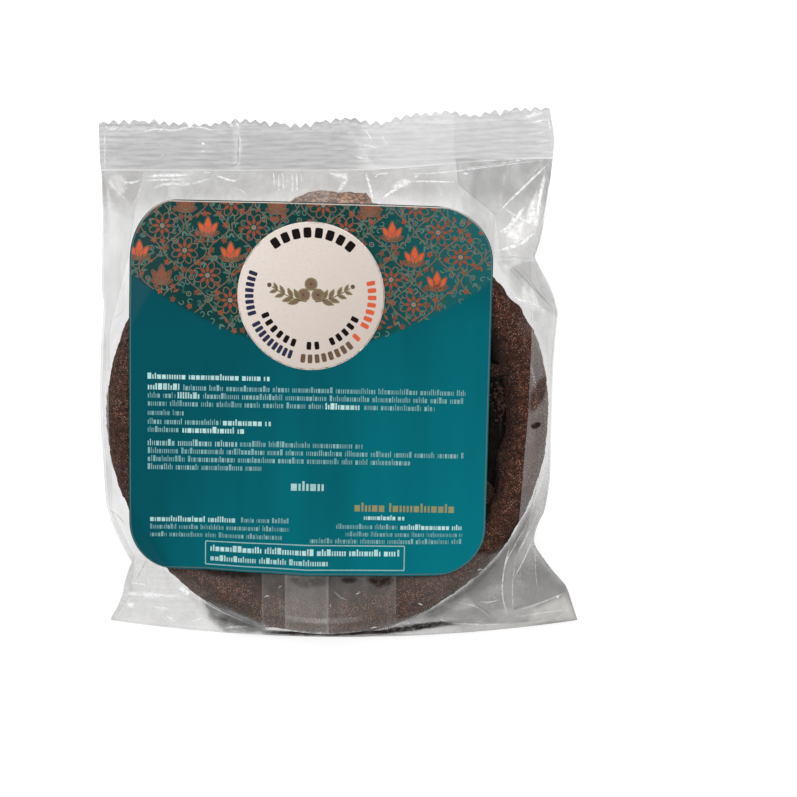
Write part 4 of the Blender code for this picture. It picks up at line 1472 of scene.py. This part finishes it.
def labelMaterial():
    bench = Bench("teal label")
    place = bench.place()
    x = bench.axis(place, "X")
    y = bench.axis(place, "Y")
    # painted light and shade: the teal is darker at the upper left and along the top and lighter to the
    # lower right, with soft bands of painted wrinkle shading
    wrinkleShade = bench.grain(bench.stretch(place, (1.0, 0.15, 1.0)), 13.0, 2.0)
    fine = bench.grain(place, 0.6, 3.0)
    paintedLightFall = (x * 11.0 - y * 9.0 + wrinkleShade * 0.9).band(0.0, 1.3)
    teal = bench.mix(colour(0, 76, 86), colour(0, 110, 121), paintedLightFall)
    teal = bench.mix(teal, colour(2, 66, 74), y.band(0.008, 0.026) * 0.6)
    deep = bench.mix(colour(13, 58, 56), colour(24, 88, 90), x.band(0.0, 0.03))
    teal = bench.mix(teal, deep, bench.attribute("ground"))
    rough = fine.band(0.3, 0.7, 0.4, 0.5)
    normal = bench.bump(fine, 0.05, 0.05)
    return bench.finish(colour=teal, roughness=rough, normal=normal, specular=0.06)


def inkMaterial(name, thin, full):
    bench = Bench(name)
    place = bench.place()
    mottle = bench.grain(place, 0.5, 3.0)
    tint = bench.mix(bench.mix(thin, full, bench.attribute("full")), thin, mottle.band(0.45, 0.75) * 0.3)
    return bench.finish(colour=tint, roughness=mottle.band(0.3, 0.7, 0.4, 0.5), specular=0.06)


class Ink(Sheets):
    # gathers flat shapes of one ink and lays them on the label as one piece
    def __init__(self, name, lift, thin, full):
        super().__init__()
        self.name = name
        self.lift = lift
        self.look = inkMaterial(name.replace("_", " "), colour(*thin), colour(*full))

    def sheet(self, grid, full):
        self.add(grid, full=full(grid[..., 0], grid[..., 1]) if callable(full) else full)

    def line(self, points, width, full):
        path = np.asarray(points, float)
        side = sideways(path) * width / 2.0
        self.sheet(np.stack([path + side, path - side]), full)

    def disc(self, u, v, radius, full, rings=1, turns=10):
        reaches = np.linspace(0.02, radius, rings + 1)[:, None]
        self.sheet(circle(u, v, reaches, np.linspace(0.0, tau, turns + 1)[None, :]), full)

    def leaf(self, u, v, angle, length, width, full):
        # pointed at both ends, growing from u, v
        way = np.linspace(0.0, 1.0, 9)[None, :]
        side = np.array([-1.0, 0.0, 1.0])[:, None]
        self.sheet(turned(u, v, angle, way * length + 0.0 * side, -side * leafHalf(way, width)), full)

    def block(self, u, v, width, height, angle, full):
        rounded = 0.35
        s, t = np.meshgrid(np.linspace(-1.0, 1.0, 5), np.linspace(-1.0, 1.0, 5))
        flatU = 0.5 * width * s * np.sqrt(1.0 - rounded * t * t / 2.0)
        flatV = 0.5 * height * t * np.sqrt(1.0 - rounded * s * s / 2.0)
        self.sheet(turned(u, v, angle, flatU, flatV), full)

    def bar(self, u, v, width, height, full):
        s, t = np.meshgrid([-0.5, 0.5], [-0.5, 0.5])
        self.sheet(np.stack([u + width * s, v + height * t], axis=-1), full)

    def lay(self):
        x, y = labelToPack(*keepOnLabel(*np.concatenate(self.points).T))
        z = labelHeight(x, y) + label["thickness"] + self.lift
        self.points = [np.stack([x, y, z], axis=-1)]
        self.make(self.name, self.look, "printed_label")


def circle(u, v, radius, turn):
    return np.stack([u + radius * np.cos(turn), v + radius * np.sin(turn)], axis=-1)


def leafHalf(way, width):
    return 0.5 * width * np.sin(math.pi * way ** 0.85) ** 0.9


def turned(u, v, angle, flatU, flatV):
    cosine, sine = math.cos(angle), math.sin(angle)
    return np.stack([u + flatU * cosine - flatV * sine, v + flatU * sine + flatV * cosine], axis=-1)


def keepOnLabel(u, v):
    # print that would run over the label's edge ends on it
    margin = 0.22
    v = np.clip(v, -label["length"] / 2.0 + margin, label["length"] / 2.0 - margin)
    left, right = labelSides(v)
    return np.clip(u, left + margin, right - margin), v


medallion = {
    "u": 0.1,
    "v": 21.8,
    "radius": 17.6,
}


def inField(u, v, margin=0.0):
    offDisc = np.hypot(u - medallion["u"], v - medallion["v"]) > medallion["radius"] - 0.6
    return (v > fieldLow(u) + margin) & offDisc & (outsideOutline(u, v) < 1.5)


def stretches(inside):
    # start and end of each unbroken run of True
    edges = np.flatnonzero(np.diff(np.concatenate([[0], inside.astype(int), [0]])))
    return [(start, end) for start, end in zip(edges[::2], edges[1::2]) if end - start > 2]


def printStems(tan, mist):
    # wavy stems with small leaves, that swing towards and away from each other
    v = np.arange(6.0, 46.0, 0.35)
    for number in range(-8, 9):
        swing = pattern["swing"] * np.sin(tau * v / pattern["rise"] + math.pi * number)
        path = np.stack([number * pattern["pitch"] + swing, v], axis=-1)
        for start, end in stretches(inField(path[:, 0], path[:, 1])):
            tan.line(path[start:end], pattern["lineWidth"], 0.5)
            for step in range(start + 3, end - 3, 5):
                slope = math.atan2(path[step + 1, 1] - path[step, 1], path[step + 1, 0] - path[step, 0])
                side = 1.0 if (step // 5) % 2 else -1.0
                mist.leaf(*path[step], slope + side * 0.9, 1.6, 0.6, 0.3)


rosette = {
    "petals": 8,
    "innerStart": 0.7,
    "petalLength": 1.7,
    "petalWidth": 0.85,
    "outerStart": 2.2,
    "outerLength": 1.1,
    "outerHalf": 0.75,
    "middle": 0.6,
    "dot": 0.3,
}


def printRosette(u, v, tan, orange, mist):
    # two rings of petals, the outer ones only drawn round
    ring = np.linspace(0.0, math.pi, 9)
    count, start = rosette["petals"], rosette["innerStart"]
    for number in range(count):
        angle = tau * number / count
        orange.leaf(u + start * math.cos(angle), v + start * math.sin(angle), angle,
                    rosette["petalLength"], rosette["petalWidth"], 0.12)
        lean = angle + tau / (2.0 * count) - math.pi / 2.0
        outward = rosette["outerLength"] * np.sin(ring) + rosette["outerStart"]
        tan.line(turned(u, v, lean, rosette["outerHalf"] * np.cos(ring), outward), 0.24, 0.6)
    mist.disc(u, v, rosette["middle"], 0.9)
    orange.disc(u, v, rosette["dot"], 0.8)


fanLeaves = (  # turn, length and width
    (0.0, 4.6, 1.7), (0.62, 3.9, 1.35), (-0.62, 3.9, 1.35), (1.22, 2.8, 0.9), (-1.22, 2.8, 0.9),
)


def printFan(u, v, tan, orange, mist, bright):
    # five leaves on a short stalk, over two curls
    for turn, length, width in fanLeaves:
        angle = math.pi / 2.0 + turn
        baseU, baseV = u, v - 2.3
        full = (0.16, 0.06, 0.0)[int(abs(turn) / 0.6)]
        orange.leaf(baseU, baseV, angle, length, width, 1.0 if bright and abs(turn) < 1.0 else full)
        for side in (-1.0, 1.0):
            way = np.linspace(0.0, 1.0, 10)
            edge = side * (leafHalf(way, width) + 0.12)
            tan.line(turned(baseU, baseV, angle, way * (length + 0.2), edge), 0.2, 0.5)
    tan.line([(u, v - 4.6), (u, v - 3.4), (u, v - 2.4)], 0.3, 0.5)
    for side in (-1.0, 1.0):
        turn = np.linspace(0.0, 4.2, 14)
        curl = 0.95 * (1.0 - turn / 6.5)
        spiralU, spiralV = u + side * (1.0 - curl * np.cos(turn)), v - 3.1 - curl * np.sin(turn) * 0.8
        mist.line(np.stack([spiralU, spiralV], axis=-1), 0.22, 0.6)


def printFilling(middles, orange, mist):
    # small leaves, curls, rings and blossoms between the large motifs
    dice = np.random.default_rng(pattern["seed"])
    for gridU in np.arange(-43.0, 43.5, pattern["filling"]):
        for gridV in np.arange(8.0, 44.0, pattern["filling"]):
            stray = pattern["stray"]
            u, v = gridU + dice.uniform(-stray, stray), gridV + dice.uniform(-stray, stray)
            kind, angle = dice.integers(0, 9), dice.uniform(0.0, tau)
            nearest = min(math.dist((u, v), middle) for middle in middles)
            if nearest < pattern["clearing"] or not inField(u, v, 0.3):
                continue
            if kind < 3:
                for side in (-1.0, 1.0):
                    mist.leaf(u, v, angle + side * 0.5, 1.5, 0.5, 0.25 * kind)
            elif kind == 3:
                mist.line(circle(u, v, 0.55, np.linspace(0.0, tau, 12)), 0.18, 0.8)
                orange.disc(u, v, 0.22, 0.4)
            elif kind < 6:
                turn = np.linspace(0.0, 4.4, 12)
                curl = 0.8 * (1.0 - turn / 6.0)
                mist.line(turned(u, v, angle, curl * np.cos(turn), curl * np.sin(turn)), 0.2, 0.15 * kind)
            elif kind == 6:
                orange.leaf(u, v, angle, 1.7, 0.65, 0.12)
            else:
                for number in range(5):
                    petal = angle + tau * number / 5.0
                    orange.leaf(u, v, petal, 0.85, 0.5, 0.0 if kind == 7 else 0.2)
                mist.disc(u, v, 0.18, 1.0, 1, 6)


def printField(tan, orange, mist):
    middles = []
    for number in range(-9, 9):
        u = (number + 0.5) * pattern["pitch"]
        phase = 0.75 if number % 2 == 0 else 0.25
        for wave in range(0, 5):
            v = pattern["rise"] * (wave + phase)
            if inField(np.array([u, u - 2.0, u + 2.0]), np.array([v, v, v]), 1.2).all():
                middles.append((u, v))
                if (number // 2 + wave) % 2:
                    printRosette(u, v, tan, orange, mist)
                else:
                    printFan(u, v, tan, orange, mist, (number + wave) % 2 == 0 or u > 20.0)
    printStems(tan, mist)
    printFilling(middles, orange, mist)


def printEdge(paper):
    # the label's pale cut edge, with a painted highlight that makes it lightest along the top
    inset = 0.37
    v = np.linspace(-label["length"] / 2.0 + inset, label["length"] / 2.0 - inset, 240)
    left, right = labelSides(v)
    left, right = left + inset, right - inset
    edge = np.stack([np.concatenate([left, right[::-1]]), np.concatenate([v, v[::-1]])], axis=-1)
    top = curveThrough((edge[len(v) - 1], edge[len(v)]), 0.7)
    bottom = curveThrough((edge[-1], edge[0]), 0.7)
    paper.line(np.concatenate([edge[:len(v)], top[1:-1], edge[len(v):], bottom[1:]]), 0.27,
               lambda u, v: np.clip(0.2 + (v - 38.0) / 9.0, 0.09, 0.75))


def printArc(ink, radius, start, end, count, width, height, gaps):
    # plain rounded bars round the medallion
    for number in set(range(count)) - set(gaps):
        angle = math.radians(blend(start, end, number / (count - 1)))
        u = medallion["u"] + radius * math.cos(angle)
        v = medallion["v"] + radius * math.sin(angle)
        ink.block(u, v, width, height, angle - math.pi / 2.0, 0.8)


sprig = {
    "lift": 0.8,  # above the medallion's middle
    "start": 1.0,
    "length": 8.4,
    "drop": 2.2,
    "climb": 3.4,
    "leafPlaces": (0.2, 0.42, 0.64, 0.86),
    "leafTilts": (0.85, -0.55),
    "leafSize": 3.0,
    "smaller": 0.35,  # each pair of leaves than the one before
    "berries": ((0.0, 2.0), (-1.7, -0.6), (1.7, -0.6)),
    "berryRadius": 1.3,
    "berryOutline": 1.45,
    "budPlace": (10.0, 1.6),
    "budRadius": 0.55,
}


def printSprig(ink, berries):
    # two leafy twigs that meet under three berries
    u, v = medallion["u"], medallion["v"] + sprig["lift"]
    budU, budV = sprig["budPlace"]
    for side in (-1.0, 1.0):
        way = np.linspace(0.0, 1.0, 26)
        twigU = u + side * (sprig["start"] + sprig["length"] * way)
        twigV = v - sprig["drop"] + sprig["climb"] * way ** 1.6
        ink.line(np.stack([twigU, twigV], axis=-1), 0.26, 0.9)
        for number, place in enumerate(sprig["leafPlaces"]):
            index = int(place * 25)
            for tilt in sprig["leafTilts"]:
                angle = tilt + 0.25 if side > 0 else math.pi - tilt - 0.25
                size = sprig["leafSize"] - sprig["smaller"] * number
                for edge in (-1.0, 1.0):
                    reach = np.linspace(0.0, 1.0, 10)
                    bulge = edge * 0.19 * size * np.sin(math.pi * reach ** 0.9)
                    ink.line(turned(twigU[index], twigV[index], angle, reach * size, bulge), 0.2, 0.7)
                berries.leaf(twigU[index], twigV[index], angle, size * 0.95, size * 0.34, 0.2)
        berries.disc(u + side * budU, v + budV, sprig["budRadius"], 0.9)
    for shiftU, lift in sprig["berries"]:
        outline = circle(u + shiftU, v + lift, sprig["berryOutline"], np.linspace(0.0, tau, 22))
        ink.line(outline, 0.24, 0.9)
        berries.disc(u + shiftU, v + lift, sprig["berryRadius"], 0.15, 2, 16)
        berries.disc(u + shiftU, v + lift, 0.35, 0.9)


barShape = {  # in shares of the row's height
    "widths": (0.16, 0.16, 0.42),
    "low": 0.72,
    "gap": 0.17,
    "groupGap": 0.4,
    "tallShare": 0.22,  # of the bars, this share is as high as the row
}


def printBars(ink, start, end, v, height, full, dice):
    # a row of short upright bars in uneven groups
    u = start
    ahead = int(dice.integers(3, 10)) * 2
    while u < end:
        width = height * dice.choice(barShape["widths"]) * (1.0 + 0.5 * (full > 0.6))
        tall = height * (1.0 if dice.random() < barShape["tallShare"] else barShape["low"])
        shade = np.clip(full * 0.75 + dice.uniform(-0.1, 0.1), 0.0, 1.0)
        ink.bar(u + width / 2.0, v + (tall - height) / 2.0, min(width, end - u), tall, shade)
        u += width + height * barShape["gap"]
        ahead -= 1
        if ahead == 0:
            u += height * barShape["groupGap"]
            ahead = int(dice.integers(3, 10)) * 2


barRows = (  # start, end, height above the label's middle, size and how bold
    (-39.1, -9.8, 2.0, 1.45, 0.95),
    (-39.0, -31.4, -0.5, 1.5, 0.95),
    (-30.4, 37.9, -0.6, 1.4, 0.4),
    (-39.0, -32.5, -2.5, 1.4, 0.35),
    (-31.8, -26.4, -2.5, 1.5, 0.95),
    (-25.6, 37.4, -2.5, 1.4, 0.4),
    (-39.0, 3.2, -4.4, 1.4, 0.4),
    (4.0, 12.6, -4.4, 1.5, 0.95),
    (13.4, 30.2, -4.4, 1.4, 0.4),
    (-39.0, -30.4, -6.6, 1.35, 0.4),
    (-39.0, -21.6, -8.7, 1.4, 0.45),
    (-20.8, -9.4, -8.7, 1.5, 0.95),
    (-39.0, -31.4, -10.6, 1.35, 0.4),
    (-30.6, -15.5, -10.6, 1.5, 0.95),
    (-39.0, -17.4, -13.7, 1.55, 0.6),
    (-16.6, 12.9, -13.7, 1.4, 0.4),
    (-39.0, 37.7, -15.6, 1.4, 0.42),
    (-39.0, 24.9, -17.5, 1.4, 0.42),
    (-39.0, -11.3, -19.4, 1.4, 0.42),
    (-38.4, -17.0, -31.8, 1.4, 0.85),
    (-16.2, -4.5, -31.8, 1.2, 0.35),
    (-38.4, -4.5, -33.7, 1.25, 0.35),
    (-38.4, -5.5, -35.6, 1.25, 0.35),
    (13.8, 23.6, -30.7, 1.15, 0.9),
    (7.1, 22.0, -32.8, 1.2, 0.35),
    (22.8, 37.8, -32.8, 1.25, 0.9),
    (9.4, 37.8, -34.5, 1.15, 0.35),
    (0.7, 37.8, -36.1, 1.2, 0.4),
    (-23.6, 22.4, -38.8, 1.5, 0.95),
    (-23.6, 5.4, -41.2, 1.4, 0.8),
    (-4.1, 4.3, -23.5, 2.3, 0.8),
)
arcs = (  # ink, radius, first and last turn, number, width and height of the bars, and the ones left out
    ("dark", 15.1, 125.0, 52.5, 8, 1.9, 2.5, ()),
    ("dark", 11.9, 204.0, 333.0, 15, 1.15, 1.9, (6, 9)),
    ("blue", 14.8, 160.0, 251.0, 18, 0.95, 2.1, (8,)),
    ("brown", 15.0, 263.5, 309.0, 8, 1.15, 2.1, ()),
    ("warm", 14.7, 319.0, 373.0, 9, 1.1, 2.1, (1,)),
)
inks = {  # height above the label, and the colours of its faint and its full print
    "mist": (0.05, (46, 84, 78), (112, 140, 130)),
    "orange": (0.065, (116, 74, 58), (208, 88, 54)),
    "tan": (0.08, (84, 84, 70), (140, 104, 84)),
    "cream": (0.1, (190, 178, 168), (232, 221, 213)),
    "dark": (0.12, (34, 28, 26), (16, 13, 13)),
    "blue": (0.12, (62, 62, 84), (34, 36, 62)),
    "brown": (0.12, (122, 100, 84), (92, 72, 58)),
    "warm": (0.12, (206, 112, 82), (206, 84, 52)),
    "olive": (0.13, (176, 168, 132), (112, 104, 66)),
    "pale": (0.045, (20, 104, 114), (200, 236, 234)),
    "gold": (0.045, (110, 122, 92), (158, 148, 104)),
    "edge": (0.1, (20, 90, 98), (226, 206, 194)),
}
frameBox = (  # corners of a printed frame
    (-24.8, -37.2), (23.9, -37.2), (23.9, -42.8), (-24.8, -42.8),
)
largeRow = (11.5, 36.0, -28.3, 2.1, 0.7)
barSeed = 31


def creamTone(u, v):
    # painted light: the medallion's ground is a little lighter towards its upper left
    return 0.44 + 0.012 * ((medallion["u"] - u) + (v - medallion["v"]))


def buildPrint():
    ink = {name: Ink("ink_" + name, *look) for name, look in inks.items()}
    printField(ink["tan"], ink["orange"], ink["mist"])
    printEdge(ink["edge"])
    u, v, radius = medallion["u"], medallion["v"], medallion["radius"]
    ink["cream"].disc(u, v, radius, creamTone, 26, 110)
    ink["cream"].line(circle(u, v, radius - 0.1, np.linspace(0.0, tau, 140)), 0.3, 1.0)
    for name, *arc in arcs:
        printArc(ink[name], *arc)
    printSprig(ink["olive"], ink["brown"])
    dice = np.random.default_rng(barSeed)
    for row in barRows:
        printBars(ink["pale"], *row, dice)
    printBars(ink["gold"], *largeRow, dice)
    for near, far in zip(frameBox, frameBox[1:] + frameBox[:1]):
        ink["pale"].line(curveThrough((near, far), 0.7), 0.26, 0.45)
    for each in ink.values():
        each.lay()


print("label stage")
buildLabel(labelMaterial())
buildPrint()


# The camera looks straight down on the pack, with the photo's frame
view = {
    "middleX": 14.18,
    "middleY": -6.49,
    "focusHeight": 8.0,
    "distance": 900.0,
    "frameWidth": 191.5,
    "sensor": 36.0,
    "nearest": 0.05,  # metres
    "farthest": 10.0,
}


def setCamera():
    data = bpy.data.cameras.new("camera")
    data.sensor_width = view["sensor"]
    data.lens = data.sensor_width * view["distance"] / view["frameWidth"]
    data.clip_start = view["nearest"]
    data.clip_end = view["farthest"]
    obj = bpy.data.objects.new("camera", data)
    height = view["focusHeight"] + view["distance"]
    obj.location = (view["middleX"] * mm, (view["middleY"] + shiftY) * mm, height * mm)
    bpy.context.scene.collection.objects.link(obj)
    bpy.context.scene.camera = obj


floor = {  # in metres
    "halfWidth": 1.5,
    "drop": 0.0003,
    "tones": (0.4, 0.41),
    "glow": 1.88,
}


def setFloor():
    size = floor["halfWidth"]
    mesh = bpy.data.meshes.new("floor")
    ends = ((-size, -size), (size, -size), (size, size), (-size, size))
    mesh.from_pydata([(x, y, -floor["drop"]) for x, y in ends], [], [(0, 1, 2, 3)])
    bench = Bench("pale floor")
    mottle = bench.grain(bench.place(), 60.0, 2.0)
    low, high = [(tone, tone, tone, 1.0) for tone in floor["tones"]]
    tint = bench.mix(low, high, mottle)
    look = bench.finish(colour=tint, roughness=0.9, specular=0.0, glow=tint, glowStrength=floor["glow"])
    mesh.materials.append(look)
    obj = bpy.data.objects.new("floor", mesh)
    bpy.context.scene.collection.objects.link(obj)


# Each lamp's bearing from +X, its tilt from straight up, its two sizes in metres and its power
lamps = (
    {"bearing": 150.0, "tilt": 42.0, "sizes": (0.22, 0.34), "power": 3.35},
    {"bearing": 20.0, "tilt": 46.0, "sizes": (0.2, 0.4), "power": 3.05},
    {"bearing": 268.0, "tilt": 52.0, "sizes": (0.5, 0.2), "power": 3.15},
    {"bearing": 85.0, "tilt": 50.0, "sizes": (0.5, 0.16), "power": 2.2},
)
lampDistance = 0.9
skyBrightness = 0.15


def setLamps():
    for number, lamp in enumerate(lamps):
        data = bpy.data.lights.new(f"lamp{number}", "AREA")
        data.shape = "RECTANGLE"
        data.size, data.size_y = lamp["sizes"]
        data.energy = lamp["power"]
        bearing, tilt = math.radians(lamp["bearing"]), math.radians(lamp["tilt"])
        obj = bpy.data.objects.new(f"lamp{number}", data)
        flat = lampDistance * math.sin(tilt)
        obj.location = (flat * math.cos(bearing), flat * math.sin(bearing), lampDistance * math.cos(tilt))
        obj.rotation_euler = (0.0, tilt, bearing)
        bpy.context.scene.collection.objects.link(obj)


def setWorld():
    world = bpy.data.worlds.new("studio")
    world.use_nodes = True
    sky = world.node_tree.nodes["Background"]
    sky.inputs["Color"].default_value = (1.0, 1.0, 1.0, 1.0)
    sky.inputs["Strength"].default_value = skyBrightness
    bpy.context.scene.world = world


print("studio stage")
setCamera()
setFloor()
setLamps()
setWorld()
bpy.context.scene.view_settings.view_transform = "Standard"
bpy.context.scene.cycles.transparent_max_bounces = 32
